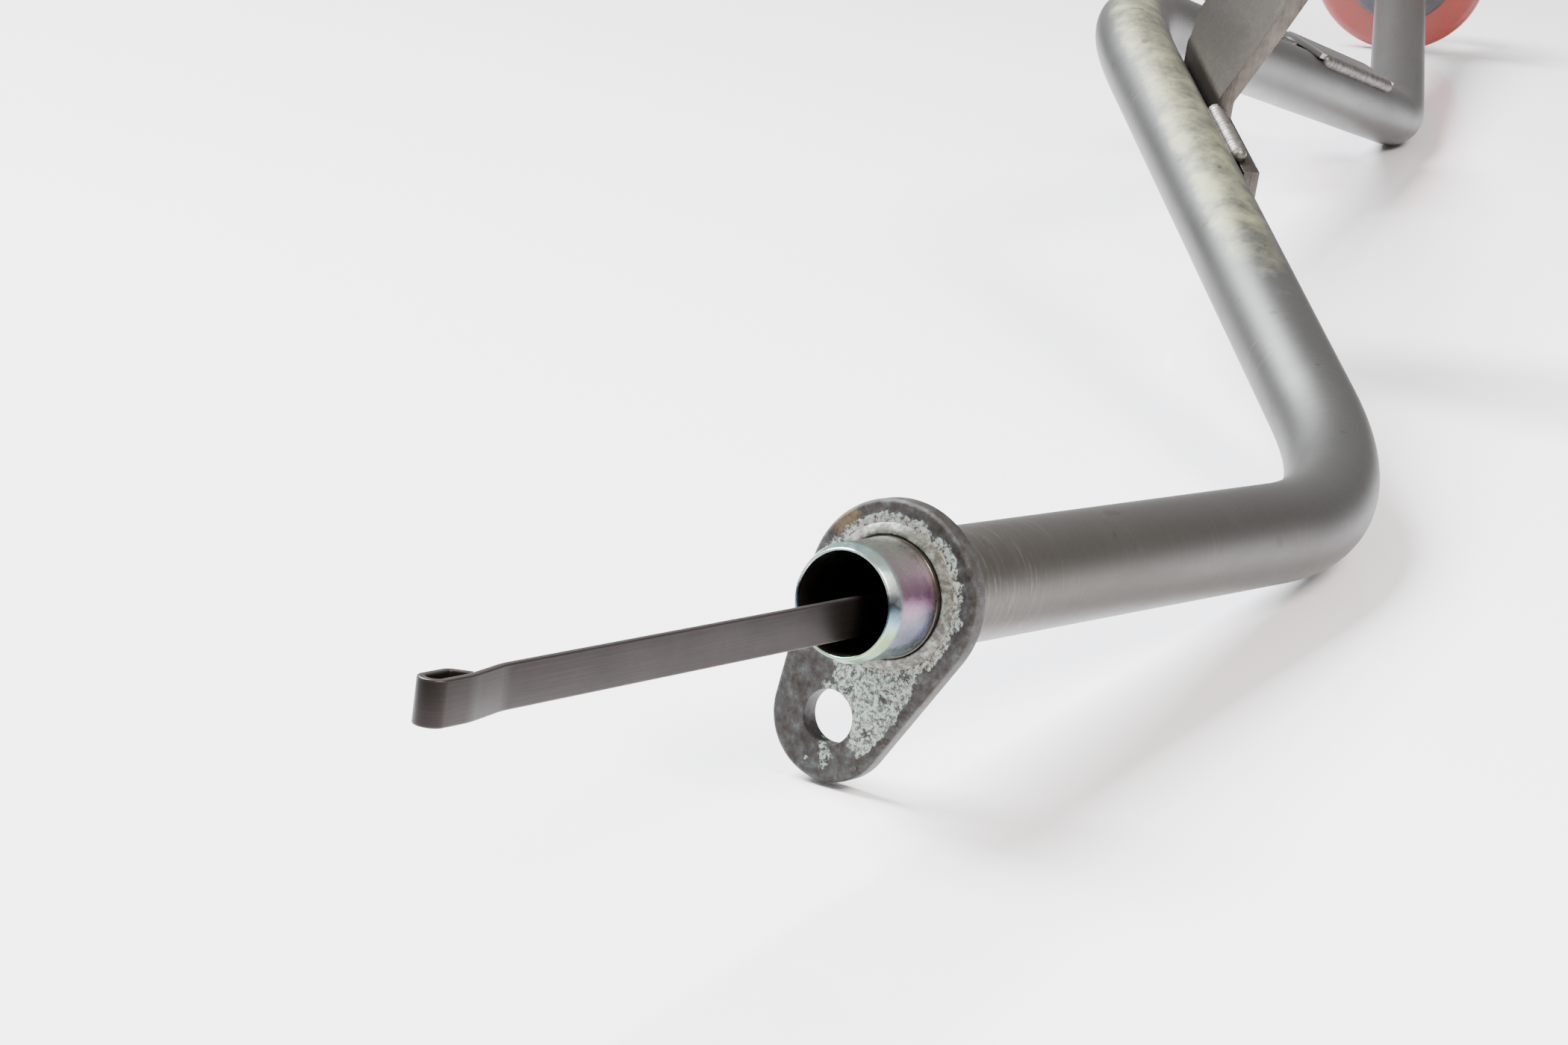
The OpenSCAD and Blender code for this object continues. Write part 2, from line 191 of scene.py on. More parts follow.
class BladeSettings(bpy.types.PropertyGroup):
    width: in_mm("Width", "Width of the spring-steel strip", 5)
    thickness: in_mm("Thickness", "Thickness of the strip", 0.9)
    out: in_mm("Out", "Tube's mouth to the crank", 67)
    crank: in_mm("Crank", "Length of the crank", 7)
    crank_angle: in_degrees("Crank angle", "Angle of the crank", 10)
    curl: in_mm("Curl", "Length of the curled end", 6)
    steel: in_hex("Browned steel", "Colour of the strip", "#1f1c1a")


class BracketSettings(bpy.types.PropertyGroup):
    support_sheet: in_mm("Support sheet", "Thickness of the support bracket", 3)
    support_width: in_mm("Support width", "Width of the standing leg", 27)
    support_reach: in_mm("Support reach", "Fold to the bolt hole", 52)
    support_fold: in_degrees("Support fold", "Angle between foot and leg", 27)
    support_clock: in_degrees("Support clock", "Place of the foot round the tube", -38.3)
    support_back: in_mm("Support back", "Foot's low end to the tube's second corner", 80)
    support_foot: in_mm("Support foot", "Line of contact to the foot's edge", 8)
    support_flare: in_mm("Support flare", "How much the leg widens above the fold", 4)
    support_end: in_mm("Support end", "Radius of the leg's round end", 9)
    support_hole: in_mm("Support hole", "Diameter of the leg's bolt hole", 8.5)
    upper_sheet: in_mm("Upper sheet", "Thickness of the upper bracket", 1.6)
    upper_width: in_mm("Upper width", "Width of the upper bracket", 70)
    upper_panel: in_mm("Upper panel", "Depth of the panel past the joggle", 22)
    upper_clock: in_degrees("Upper clock", "Place of the bracket round the tube", -104)
    upper_at: in_mm("Upper place", "Second corner to the bracket's middle", 170)
    upper_foot: in_mm("Upper foot", "Width of the foot on the tube", 9)
    upper_hole: in_mm("Upper hole", "Diameter of the hole behind the nut", 6.6)
    joggle: in_degrees("Joggle", "Angle of the upper bracket's joggle", 50)
    bead: in_mm("Bead", "Radius of the weld beads", 1.6)
    oiled: in_hex("Oiled steel", "Colour of the support bracket", "#59544e")
    plated: in_hex("Plated steel", "Colour of the upper bracket", "#838380")


class HandleSettings(bpy.types.PropertyGroup):
    flange: in_mm("Flange", "Diameter of the handle's flange", 54)
    ring: in_mm("Ring", "Outside diameter of the pull ring", 38)
    finger: in_mm("Finger hole", "Diameter of the finger hole", 22)
    stem: in_mm("Stem", "Diameter of the stem in the tube", 11.2)
    stem_length: in_mm("Stem length", "How far the stem goes into the tube", 22)
    nylon: in_hex("Red nylon", "Colour of the handle", "#7a2014")
    rubber: in_hex("Black rubber", "Colour of the cap", "#202022")


class StudioSettings(bpy.types.PropertyGroup):
    camera: in_mm("Camera", "Place of the camera", -13.03, -403.04, 124.61)
    lens: FloatProperty(name="Lens", description="Focal length in millimetres on a 36 mm frame",
                        default=80.0)
    forward: FloatVectorProperty(name="View direction", description="Where the camera looks", size=3,
                                 default=(-0.00067, 0.96081, -0.27711), subtype="DIRECTION")
    right: FloatVectorProperty(name="View right", description="The picture's right-hand side", size=3,
                               default=(0.99759, 0.01964, 0.06577), subtype="DIRECTION")
    sky: FloatProperty(name="Sky", description="Brightness of the room", default=1.0)
    floor: in_hex("Floor", "Colour of the glossy sheet", "#fbf9fa")


class DipstickSettings(bpy.types.PropertyGroup):
    tube: PointerProperty(type=TubeSettings)
    flange: PointerProperty(type=FlangeSettings)
    blade: PointerProperty(type=BladeSettings)
    bracket: PointerProperty(type=BracketSettings)
    handle: PointerProperty(type=HandleSettings)
    studio: PointerProperty(type=StudioSettings)


# ---------------------------------------------------------------- places on the tube

def turn(angle, axis):
    return Matrix.Rotation(angle, 4, axis)


def shift(x=0.0, y=0.0, z=0.0):
    return Matrix.Translation((x, y, z))


def scale(x, y, z):
    return Matrix.Diagonal((x, y, z, 1))


def tangent(tube, n):
    """Length of bend n's tangent."""
    return 0 if n in (0, 4) else tube.radii[n - 1] * math.tan(tube.bends[n - 1] / 2)


def run(tube, n):
    """Length of the straight run n."""
    return tube.spans[n - 1] - tangent(tube, n - 1) - tangent(tube, n)


def bend_start(tube, n):
    """Frame at the start of bend n, whose x points to the inside of the bend."""
    return after(tube, n - 1) @ shift(z=run(tube, n)) @ turn(tube.rolls[n - 1], "Z")


def after(tube, n):
    """Frame at the end of bend n, or at the flange's engine-side face for 0. Its z is the tube's axis."""
    if n == 0:
        return turn(tube.azimuth, "Z") @ turn(tube.tilt, "Y")
    r, angle = tube.radii[n - 1], tube.bends[n - 1]
    return (bend_start(tube, n) @ shift(r * (1 - math.cos(angle)), 0, r * math.sin(angle))
            @ turn(angle, "Y"))


def tube_top(tube):
    return after(tube, 3) @ shift(z=run(tube, 4))


def place_on_tube(tube, point):
    """Where a point lies on the tube: across it in x and y, without a jump at the bends, and along
    it in z, all in metres."""
    best, station, rolled = None, 0.0, 0.0
    for n in range(1, 5):
        local = after(tube, n - 1).inverted() @ point
        z = min(max(local.z, -1.0 if n == 1 else 0.0), run(tube, n) if n < 4 else 9.0)
        off = (local - Vector((0, 0, z))).length
        if best is None or off < best[0] - 1e-7:
            best = (off, turn(rolled, "Z") @ Vector((local.x, local.y, 0)), station + z)
        station += run(tube, n)
        if n == 4:
            break
        rolled += tube.rolls[n - 1]
        local = bend_start(tube, n).inverted() @ point
        r = tube.radii[n - 1]
        angle = math.atan2(local.z, r - local.x)
        if 0 < angle < tube.bends[n - 1]:
            across = Vector((r - math.hypot(r - local.x, local.z), local.y, 0))
            if across.length < best[0] - 1e-7:
                best = (across.length, turn(rolled, "Z") @ across, station + r * angle)
        station += r * tube.bends[n - 1]
    return Vector((best[1].x, best[1].y, best[2]))


# ---------------------------------------------------------------- paths of bent strips

def arc(angle, radius, count):
    """Steps (advance, turn, twist) round an arc."""
    return [(abs(angle) / count * radius, angle / count, 0.0)] * count


def straight(length, twist=0.0, count=1):
    return [(length / count, 0.0, twist / count)] * count


def path_frames(steps):
    """The frame at the start and after each step; z runs along the path and it turns towards x."""
    frames = [Matrix.Identity(4)]
    for advance, bend, twist in steps:
        frames.append(frames[-1] @ turn(bend / 2, "Y") @ shift(z=advance) @ turn(bend / 2, "Y")
                      @ turn(twist, "Z"))
    return frames


# ---------------------------------------------------------------- modelling

def begin(add, name, **settings):
    """Adds a primitive, alone in the selection, and opens it for shaping."""
    for item in bpy.context.view_layer.objects:
        item.select_set(False)
    add(**settings)
    piece = bpy.context.object
    piece.name = piece.data.name = name
    bpy.ops.object.mode_set(mode="EDIT")
    return piece


def open_mesh():
    return bmesh.from_edit_mesh(bpy.context.edit_object.data)


def carry(matrix):
    """Moves what is selected by a matrix."""
    shape = open_mesh()
    bmesh.ops.transform(shape, matrix=matrix, verts=[v for v in shape.verts if v.select])
    bmesh.update_edit_mesh(bpy.context.edit_object.data)


def pull(matrix):
    """Extrudes what is selected and moves the new end by a matrix."""
    bpy.ops.mesh.extrude_region_move()
    carry(matrix)


def pull_along(frames):
    """Pulls what is selected from frame to frame. A frame that only turns carries the end with it."""
    for last, here in zip(frames, frames[1:]):
        moved = (here.translation - last.translation).length > 1e-6
        (pull if moved else carry)(here @ last.inverted())


def pick(mode, test):
    """Selects the vertices, edges or faces that pass a test, and returns how many did."""
    bpy.ops.mesh.select_mode(type=mode)
    bpy.ops.mesh.select_all(action="DESELECT")
    shape = open_mesh()
    found = 0
    for part in {"VERT": shape.verts, "EDGE": shape.edges, "FACE": shape.faces}[mode]:
        if test(part):
            part.select_set(True)
            found += 1
    shape.select_flush_mode()
    bmesh.update_edit_mesh(bpy.context.edit_object.data)
    return found


def close_edit():
    """Makes all normals point outwards and leaves edit mode."""
    bpy.ops.mesh.select_mode(type="VERT")
    bpy.ops.mesh.select_all(action="SELECT")
    bpy.ops.mesh.remove_doubles(threshold=1e-6)
    bpy.ops.mesh.normals_make_consistent(inside=False)
    bpy.ops.object.mode_set(mode="OBJECT")


def settle(piece, frame_at):
    """Moves the finished mesh to its place and sets its normals again."""
    piece.data.transform(frame_at)
    bpy.ops.object.mode_set(mode="EDIT")
    close_edit()


def select_only(*pieces):
    for item in bpy.context.view_layer.objects:
        item.select_set(item in pieces)
    bpy.context.view_layer.objects.active = pieces[0]


def modify(piece, kind, **settings):
    """Adds a modifier and applies it."""
    select_only(piece)
    made = piece.modifiers.new(kind.title(), kind)
    for name, value in settings.items():
        setattr(made, name, value)
    bpy.ops.object.modifier_apply(modifier=made.name)


def soften(piece, width, segments=3, angle=35):
    """Breaks the sharp edges."""
    modify(piece, "BEVEL", width=width, segments=segments, limit_method="ANGLE",
           angle_limit=math.radians(angle), use_clamp_overlap=True)


def bore_out(piece, frame_at, radius, length, sides=64):
    """Cuts a round hole along the frame's z, length to each side of it."""
    cutter = begin(bpy.ops.mesh.primitive_cylinder_add, "Cutter", vertices=sides, radius=radius,
                   depth=2 * length)
    carry(frame_at)
    close_edit()
    modify(piece, "BOOLEAN", operation="DIFFERENCE", object=cutter, solver="EXACT")
    bpy.data.objects.remove(cutter)


def in_metres(points):
    return [(x * MM, z * MM) for x, z in points]


def turned(name, frame_at, profile, sides=96, closed=False):
    """Turns a profile of (radius, height) about the frame's z. A closed profile comes back to its
    start, and an open one gets its two ends filled."""
    piece = begin(bpy.ops.mesh.primitive_circle_add, name, vertices=sides, radius=profile[0][0],
                  fill_type="NOTHING" if closed else "NGON")
    carry(shift(z=profile[0][1]))
    for (r0, z0), (r1, z1) in zip(profile, profile[1:] + (profile[:1] if closed else [])):
        pull(shift(z=z1) @ scale(r1 / r0, r1 / r0, 1) @ shift(z=-z0))
    bpy.ops.mesh.select_all(action="SELECT")
    carry(frame_at)
    close_edit()
    return piece


def dress(piece, materials, replaces=(), smooth=35, choose=None):
    """Shades the piece, gives it its finishes and lets it ride on the part."""
    select_only(piece)
    bpy.ops.object.shade_smooth_by_angle(angle=math.radians(smooth))
    piece.data.materials.clear()
    for material in materials:
        piece.data.materials.append(material)
    if choose:
        for face in piece.data.polygons:
            face.material_index = choose(face)
    if replaces:
        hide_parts(*replaces)
    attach(piece, "root")


# ---------------------------------------------------------------- finishes

def along_tube(add):
    """The place on the tube that the tube's own mesh carries: across in x and y, along in z."""
    return add("Attribute", attribute_name="along", take="Vector")


def dull_zinc(settings):
    """Zinc-plated steel tube, drawn and bent, dulled by heat and handling. It gives a soft broad
    highlight, fine hair scratches round the tube and yellowish bloom on its upper side."""
    material, add, shader = finish("Dull zinc plate on drawn steel", Metallic=0.92)
    along = along_tube(add)
    place = add("TexCoord", take="Object")
    # cloudy plating, in clouds of about 14 mm, drawn out along the tube
    drawn = add("Mapping", {"Vector": along, "Scale": (1, 1, 0.35)})
    clouds = add("TexNoise", {"Vector": drawn, "Scale": 1 / (14 * MM), "Detail": 6.0, "Roughness": 0.62})
    # grain of the plating, 1.2 mm across; the real 0.1 mm one is too fine to show
    grain = add("TexNoise", {"Vector": along, "Scale": 1 / (1.2 * MM), "Detail": 5.0, "Roughness": 0.7})
    # brushing round the tube, 0.35 mm apart and 7 mm long
    lines_at = add("Mapping", {"Vector": along, "Scale": (0.05, 0.05, 1)})
    lines = add("TexNoise", {"Vector": lines_at, "Scale": 1 / (0.35 * MM), "Detail": 3.0})
    # rubbing marks round the tube, slanted, 0.5 mm apart and 7 mm long
    rub_at = add("Mapping", {"Vector": along, "Rotation": (0.35, 0.2, 0), "Scale": (0.07, 0.07, 1)})
    rubs = add("TexNoise", {"Vector": rub_at, "Scale": 1 / (0.5 * MM), "Detail": 4.0, "Roughness": 0.8})
    rub_patch = add("TexNoise", {"Vector": along, "Scale": 1 / (22 * MM), "Detail": 3.0})
    rub_where = add("MapRange", [rub_patch, 0.56, 0.7, 0.0, 0.8])
    station = add("SeparateXYZ", [along], take="Z")
    near_flange = add("MapRange", [station, 42 * MM, 12 * MM])
    rub_here = add("Math", [rub_where, near_flange], operation="MAXIMUM")
    rub_cut = add("MapRange", [rubs, 0.54, 0.7, 0.0, 0.6])
    rubbed = add("Math", [rub_cut, rub_here], operation="MULTIPLY")

    base = add("Mix", [clouds, "#444340", settings.metal], data_type="RGBA")
    streaked = add("Mix", [lines, "#444442", "#5d5d5a"], data_type="RGBA")
    base = add("Mix", [0.45, base, streaked], data_type="RGBA")
    # warm stain on the first run, from the flange on
    base = tint(add, base, "#4d4740", station, 125 * MM, 20 * MM, 0.5)
    # yellow-green bloom on the upper side of the second run and bend
    upward = add("SeparateXYZ", [add("NewGeometry", take="Normal")], take="Z")
    top = add("MapRange", [upward, 0.35, 0.9])
    from_bend = add("MapRange", [station, 170 * MM, 230 * MM])
    to_bend = add("MapRange", [station, 372 * MM, 335 * MM])
    zone = add("Math", [from_bend, to_bend], operation="MULTIPLY")
    zone = add("Math", [zone, top], operation="MULTIPLY")
    patches = add("TexNoise", {"Vector": place, "Scale": 1 / (6 * MM), "Detail": 8.0, "Roughness": 0.72})
    bloom = add("Math", [patches, zone], operation="MULTIPLY")
    bloom = add("MapRange", [bloom, 0.28, 0.62, 0.0, 0.85])
    base = add("Mix", [bloom, base, "#878669"], data_type="RGBA")
    base = add("Mix", [rubbed, base, "#87827a"], data_type="RGBA")
    # small dark stains, about 1 mm, far apart
    specks = add("TexNoise", {"Vector": along, "Scale": 1 / (3.2 * MM), "Detail": 2.0, "Roughness": 0.4})
    base = tint(add, base, "#423c34", specks, 0.3, 0.25, 0.6)
    rough = add("MapRange", [clouds, 0.3, 0.7, 0.5, 0.4])
    rough = add("Math", [bloom, 0.2, rough], operation="MULTIPLY_ADD")
    relief = add("Math", [grain, lines], operation="ADD")
    relief = add("Math", [rubbed, -0.8, relief], operation="MULTIPLY_ADD")
    return surface(material, add, shader, base, rough, relief, 0.22, 0.04)


def passivated_spigot():
    """Clear-passivated zinc on the turned spigot, bright and half polished. Its colours are laid out by the
    angle round the spigot: pink on the upper side and green and blue round the chamfer for the passivation's
    interference colours, with painted dark reflection bands on the barrel and chamfer and a painted highlight
    on the chamfer."""
    material, add, shader = finish("Passivated zinc on turned steel", Metallic=1.0)
    along = along_tube(add)
    parts = add("SeparateXYZ", [along], take=None)
    # round the spigot, from 0 at its underside to 1 at its top on both sides
    side = add("MapRange", [parts.outputs["X"], 7.5 * MM, -7.5 * MM])
    wobble = add("TexNoise", {"Vector": along, "Scale": 1 / (5 * MM), "Detail": 4.0, "Roughness": 0.6})
    place_round_spigot = add("Math", [wobble, 0.35, side], operation="MULTIPLY_ADD")
    place_round_spigot = add("Math", [place_round_spigot, 0.17], operation="SUBTRACT")
    # the ramps hold the passivation's colours and painted light: the barrel's dark stop at 0.45 is a painted
    # dark reflection, and on the nose the dark stop at 0.56 is a painted dark reflection band and the pale
    # stop at 0.7 is a painted highlight
    barrel_colours_and_reflection = add("ValToRGB", [place_round_spigot], stops=[
        (0.0, "#7e9082"), (0.25, "#71788b"), (0.45, "#5f5d66"), (0.62, "#95738c"),
        (0.8, "#a28c97"), (1.0, "#858b7d")])
    nose_colours_and_highlight = add("ValToRGB", [place_round_spigot], stops=[
        (0.0, "#729d8b"), (0.28, "#92aa7c"), (0.4, "#6b8c98"), (0.56, "#3c4249"),
        (0.7, "#bac3c0"), (1.0, "#769a91")])
    at_nose = add("MapRange", [parts.outputs["Z"], -8.6 * MM, -9.3 * MM])
    base = add("Mix", [at_nose, barrel_colours_and_reflection, nose_colours_and_highlight], data_type="RGBA")
    # turning marks round the spigot, 0.2 mm apart, and long rubs
    ring_at = add("Mapping", {"Vector": along, "Scale": (0.04, 0.04, 1)})
    rings = add("TexNoise", {"Vector": ring_at, "Scale": 1 / (0.2 * MM), "Detail": 3.0})
    smear = add("TexNoise", {"Vector": along, "Scale": 1 / (2.6 * MM), "Detail": 5.0, "Roughness": 0.65})
    base = tint(add, base, "#4a464c", smear, 0.62, 0.72, 0.55)
    # painted shade in the corner against the collar and flange: darker and olive towards the spigot's root,
    # broken up by the smears
    root = add("MapRange", [parts.outputs["Z"], -2.6 * MM, -0.9 * MM])
    root = add("Math", [root, smear], operation="MULTIPLY")
    base = tint(add, base, "#544f3f", root, 0.2, 0.5, 0.9)
    rough = add("MapRange", [smear, 0.35, 0.7, 0.2, 0.36])
    return surface(material, add, shader, base, rough, rings, 0.18, 0.03)


def oily_bore():
    """Unplated steel inside the tube, black with oil. It swallows the light but for a few
    yellowish flakes."""
    material, add, shader = finish("Oil-blackened bore", Metallic=0.6)
    along = along_tube(add)
    flakes = add("TexVoronoi", {"Vector": along, "Scale": 1 / (0.9 * MM)})
    where = add("TexNoise", {"Vector": along, "Scale": 1 / (3 * MM), "Detail": 3.0})
    flakes = add("MapRange", [flakes, 0.2, 0.1])
    where = add("MapRange", [where, 0.5, 0.62])
    spot = add("Math", [flakes, where], operation="MULTIPLY")
    base = add("Mix", [spot, "#1d1a16", "#6f6330"], data_type="RGBA")
    rough = add("MapRange", [where, 0.0, 1.0, 0.28, 0.45])
    return surface(material, add, shader, base, rough, where, 0.3, 0.05)


def corroded_flange(settings, tube):
    """Punched steel plate whose zinc has gone to a white bloom round the spigot and beside the bolt
    hole. The bloom is matt and crusty, the bare steel dark and faintly shiny."""
    material, add, shader = finish("Punched steel plate with zinc bloom")
    place = add("TexCoord", take="Object")
    flat_on = (turn(-tube.tilt, "Y") @ turn(-tube.azimuth, "Z")).to_euler("XYZ")
    local = add("Mapping", {"Vector": place, "Rotation": flat_on})
    parts = add("SeparateXYZ", [local], take=None)

    def near(x, y, inner, outer):
        """1 within the inner radius of a point on the plate, 0 beyond the outer one, in mm."""
        flat = add("CombineXYZ", [parts.outputs[0], parts.outputs[1]])
        far = add("VectorMath", [flat, (x * MM, y * MM, 0)], operation="DISTANCE")
        return add("MapRange", [far, outer * MM, inner * MM])

    def most(first, *others):
        for other in others:
            first = add("Math", [first, other], operation="MAXIMUM")
        return first

    ring = near(0, 0, 9.6, 11.2)
    ear = most(near(11.6, 1.2, 4.5, 9.4), near(16.6, -1.6, 3.0, 6.5), near(21.0, 7.0, 0.6, 3.9),
               near(18.8, 0.6, 0.8, 4.8))
    hole_edge = near(16.6, 6.14, 3.6, 5.6)
    zone = most(ring, ear, add("Math", [hole_edge, 0.6], operation="MULTIPLY"))
    # the bloom stops short of the sheared edge, on the right-hand side of the plate
    skew = add("VectorMath", [local, (0.536, -0.844, 0)], operation="DOT_PRODUCT")
    inside = add("MapRange", [skew, 11.4 * MM, 10.3 * MM])
    left = add("MapRange", [parts.outputs[1], 9.4 * MM, 6.4 * MM])
    left = most(left, add("MapRange", [parts.outputs[0], 6 * MM, 2 * MM]))
    zone = add("Math", [zone, inside], operation="MULTIPLY")
    zone = add("Math", [zone, left], operation="MULTIPLY")
    # bare islands 2.7 mm across and pits of 0.6 mm
    islands = add("TexNoise", {"Vector": local, "Scale": 1 / (2.7 * MM), "Detail": 5.0, "Roughness": 0.6})
    pits = add("TexNoise", {"Vector": local, "Scale": 1 / (0.62 * MM), "Detail": 7.0, "Roughness": 0.85})
    edge = add("Math", [islands, 2.6, zone], operation="MULTIPLY_ADD")
    # the crust breaks up into specks towards the edge of the bloom
    edge = add("Math", [pits, 1.7, edge], operation="MULTIPLY_ADD")
    cover = add("MapRange", [edge, 2.84, 2.93])
    pitted = add("MapRange", [pits, 0.44, 0.5, 0.08, 1.0])
    cover = add("Math", [cover, pitted], operation="MULTIPLY")

    mottle = add("TexNoise", {"Vector": local, "Scale": 1 / (1.6 * MM), "Detail": 6.0, "Roughness": 0.7})
    steel = add("ValToRGB", [mottle], stops=[
        (0.36, "#2c2620"), (0.49, settings.bare), (0.6, "#444443"), (0.74, "#575b5b")])
    # yellow chromate left on the upper left
    chrome_at = near(-8.2, 7.6, 1.5, 6.5)
    chrome_at = add("Math", [chrome_at, pits], operation="MULTIPLY")
    chrome_at = add("MapRange", [chrome_at, 0.4, 0.56, 0.0, 0.5])
    steel = add("Mix", [chrome_at, steel, "#766636"], data_type="RGBA")
    warm = add("Math", [near(0, 0, 9.0, 10.8), islands], operation="MULTIPLY")
    white = tint(add, settings.bloom, "#9c958a", warm, 0.3, 0.5)
    white = add("Mix", [pitted, "#666861", white], data_type="RGBA")
    base = add("Mix", [cover, steel, white], data_type="RGBA")
    metal = add("MapRange", [cover, 0.1, 0.7, 0.85, 0.0])
    rough = add("MapRange", [cover, 0.0, 0.8, 0.46, 0.9])
    relief = add("Math", [cover, 1.4, pits], operation="MULTIPLY_ADD")
    relief = add("Math", [mottle, 0.8, relief], operation="MULTIPLY_ADD")
    return surface(material, add, shader, base, rough, relief, 0.75, 0.16, Metallic=metal)


def cloudy_metal(name, metallic, across, detail, breakup, stops, rough, relief):
    """A metal whose colour, roughness and relief follow one pattern of clouds, across mm wide."""
    material, add, shader = finish(name, Metallic=metallic)
    cloud = add("TexNoise", {"Vector": add("TexCoord", take="Object"), "Scale": 1 / (across * MM),
                             "Detail": detail, "Roughness": breakup})
    base = add("ValToRGB", [cloud], stops=stops)
    rough = add("MapRange", [cloud, 0.3, 0.7, *rough])
    return surface(material, add, shader, base, rough, cloud, *relief)


def burnished_collar():
    """Braze run round the spigot and wiped smooth. It is pale and half matt."""
    return cloudy_metal("Wiped braze collar", 0.35, 1.1, 6.0, 0.68, [
        (0.42, "#45443c"), (0.5, "#5f6057"), (0.6, "#7f8278")], (0.6, 0.42), (0.35, 0.08))


def weld_metal():
    """Mild-steel weld bead, plated over. It is rippled and dull, with darker clouds."""
    return cloudy_metal("Plated weld bead", 0.9, 1.4, 6.0, 0.7, [
        (0.3, "#3e3a35"), (0.5, "#605c57"), (0.7, "#787671")], (0.58, 0.42), (0.5, 0.1))


def browned_spring(settings):
    """Spring-steel strip, browned by tempering and oiled. It is dark with a silky sheen along the rolled
    grain, and a little paler along its edges, where they have rubbed and where a painted highlight stands in
    for the light they catch."""
    material, add, shader = finish("Browned spring-steel strip", Metallic=0.85)
    strip = add("Attribute", attribute_name="strip", take="Vector")
    parts = add("SeparateXYZ", [strip], take=None)
    # rolled grain, lines 0.22 mm apart and 15 mm long
    grain_at = add("Mapping", {"Vector": strip, "Scale": (1, 1, 0.015)})
    grain = add("TexNoise", {"Vector": grain_at, "Scale": 1 / (0.22 * MM), "Detail": 4.0, "Roughness": 0.6})
    cloud = add("TexNoise", {"Vector": strip, "Scale": 1 / (9 * MM), "Detail": 4.0, "Roughness": 0.6})
    base = add("Mix", [cloud, settings.steel, "#25201e"], data_type="RGBA")
    base = tint(add, base, "#37322f", grain, 0.35, 0.7, 0.35)
    # edges paler within 0.35 mm of each side: partly rubbing wear, partly a painted highlight
    side = add("Math", [parts.outputs["Y"]], operation="ABSOLUTE")
    base = tint(add, base, "#4a4440", side, settings.width / 2 - 0.35 * MM, settings.width / 2, 0.45)
    # dull scuffs across the strip, 1.3 mm wide and few
    scuff_at = add("Mapping", {"Vector": strip, "Scale": (1, 0.3, 1)})
    scuff = add("TexNoise", {"Vector": scuff_at, "Scale": 1 / (1.3 * MM), "Detail": 2.0})
    base = tint(add, base, "#4b4743", scuff, 0.74, 0.8, 0.5)
    rough = add("MapRange", [cloud, 0.3, 0.7, 0.46, 0.38])
    return surface(material, add, shader, base, rough, grain, 0.15, 0.03)


def brushed_sheet(name, pale, dark, frame_at, roughness):
    """Rolled steel sheet, brushed along its length. It shows fine parallel lines and cloudy stains."""
    material, add, shader = finish(name, Metallic=0.95)
    place = add("TexCoord", take="Object")
    flat_on = (frame_at @ scale(1, -1, 1)).inverted().to_euler("XYZ")
    local = add("Mapping", {"Vector": place, "Rotation": flat_on})
    # brushed lines 0.35 mm apart and 12 mm long, over stains of 7 mm
    lines_at = add("Mapping", {"Vector": local, "Scale": (1, 0.03, 1)})
    lines = add("TexNoise", {"Vector": lines_at, "Scale": 1 / (0.35 * MM), "Detail": 4.0, "Roughness": 0.65})
    cloud = add("TexNoise", {"Vector": local, "Scale": 1 / (7 * MM), "Detail": 6.0, "Roughness": 0.65})
    mix = add("Math", [lines, 0.5, cloud], operation="MULTIPLY_ADD")
    mix = add("MapRange", [mix, 0.5, 1.0])
    base = add("Mix", [mix, dark, pale], data_type="RGBA")
    rough = add("MapRange", [cloud, 0.3, 0.7, roughness + 0.08, roughness - 0.06])
    return surface(material, add, shader, base, rough, lines, 0.3, 0.05)


def yellow_chromate():
    """Zinc with yellow chromate passivation, as on loose fasteners. It is golden with faint green clouds, and
    half shiny."""
    return cloudy_metal("Yellow-chromated zinc", 1.0, 3.5, 5.0, 0.6, [
        (0.32, "#736136"), (0.46, "#9d8245"), (0.58, "#a5925b"), (0.7, "#888661")], (0.42, 0.3), (0.2, 0.05))


def bright_steel():
    """Drawn steel wire, cut for the cross pin. It has a clear shine with faint clouds."""
    material, add, shader = finish("Drawn steel wire", Metallic=1.0)
    place = add("TexCoord", take="Object")
    cloud = add("TexNoise", {"Vector": place, "Scale": 1 / (0.6 * MM), "Detail": 4.0})
    base = add("Mix", [cloud, "#93928e", "#c2c1bd"], data_type="RGBA")
    rough = add("MapRange", [cloud, 0.3, 0.7, 0.36, 0.24])
    add(shader, {"Base Color": base, "Roughness": rough})
    return material


def moulded_rubber(settings):
    """Oil-proof rubber, moulded, matt black, with greyish bloom and a fine grain."""
    material, add, shader = finish("Moulded black rubber", IOR=1.52)
    place = add("TexCoord", take="Object")
    dust = add("TexNoise", {"Vector": place, "Scale": 1 / (6 * MM), "Detail": 7.0, "Roughness": 0.7})
    # grain of the mould, drawn 0.5 mm across so that it shows
    grain = add("TexNoise", {"Vector": place, "Scale": 1 / (0.5 * MM), "Detail": 3.0})
    dusty = add("MapRange", [dust, 0.45, 0.75, 0.0, 0.7])
    base = add("Mix", [dusty, settings.rubber, "#434245"], data_type="RGBA")
    rough = add("MapRange", [dust, 0.3, 0.7, 0.52, 0.72])
    return surface(material, add, shader, base, rough, grain, 0.3, 0.06)


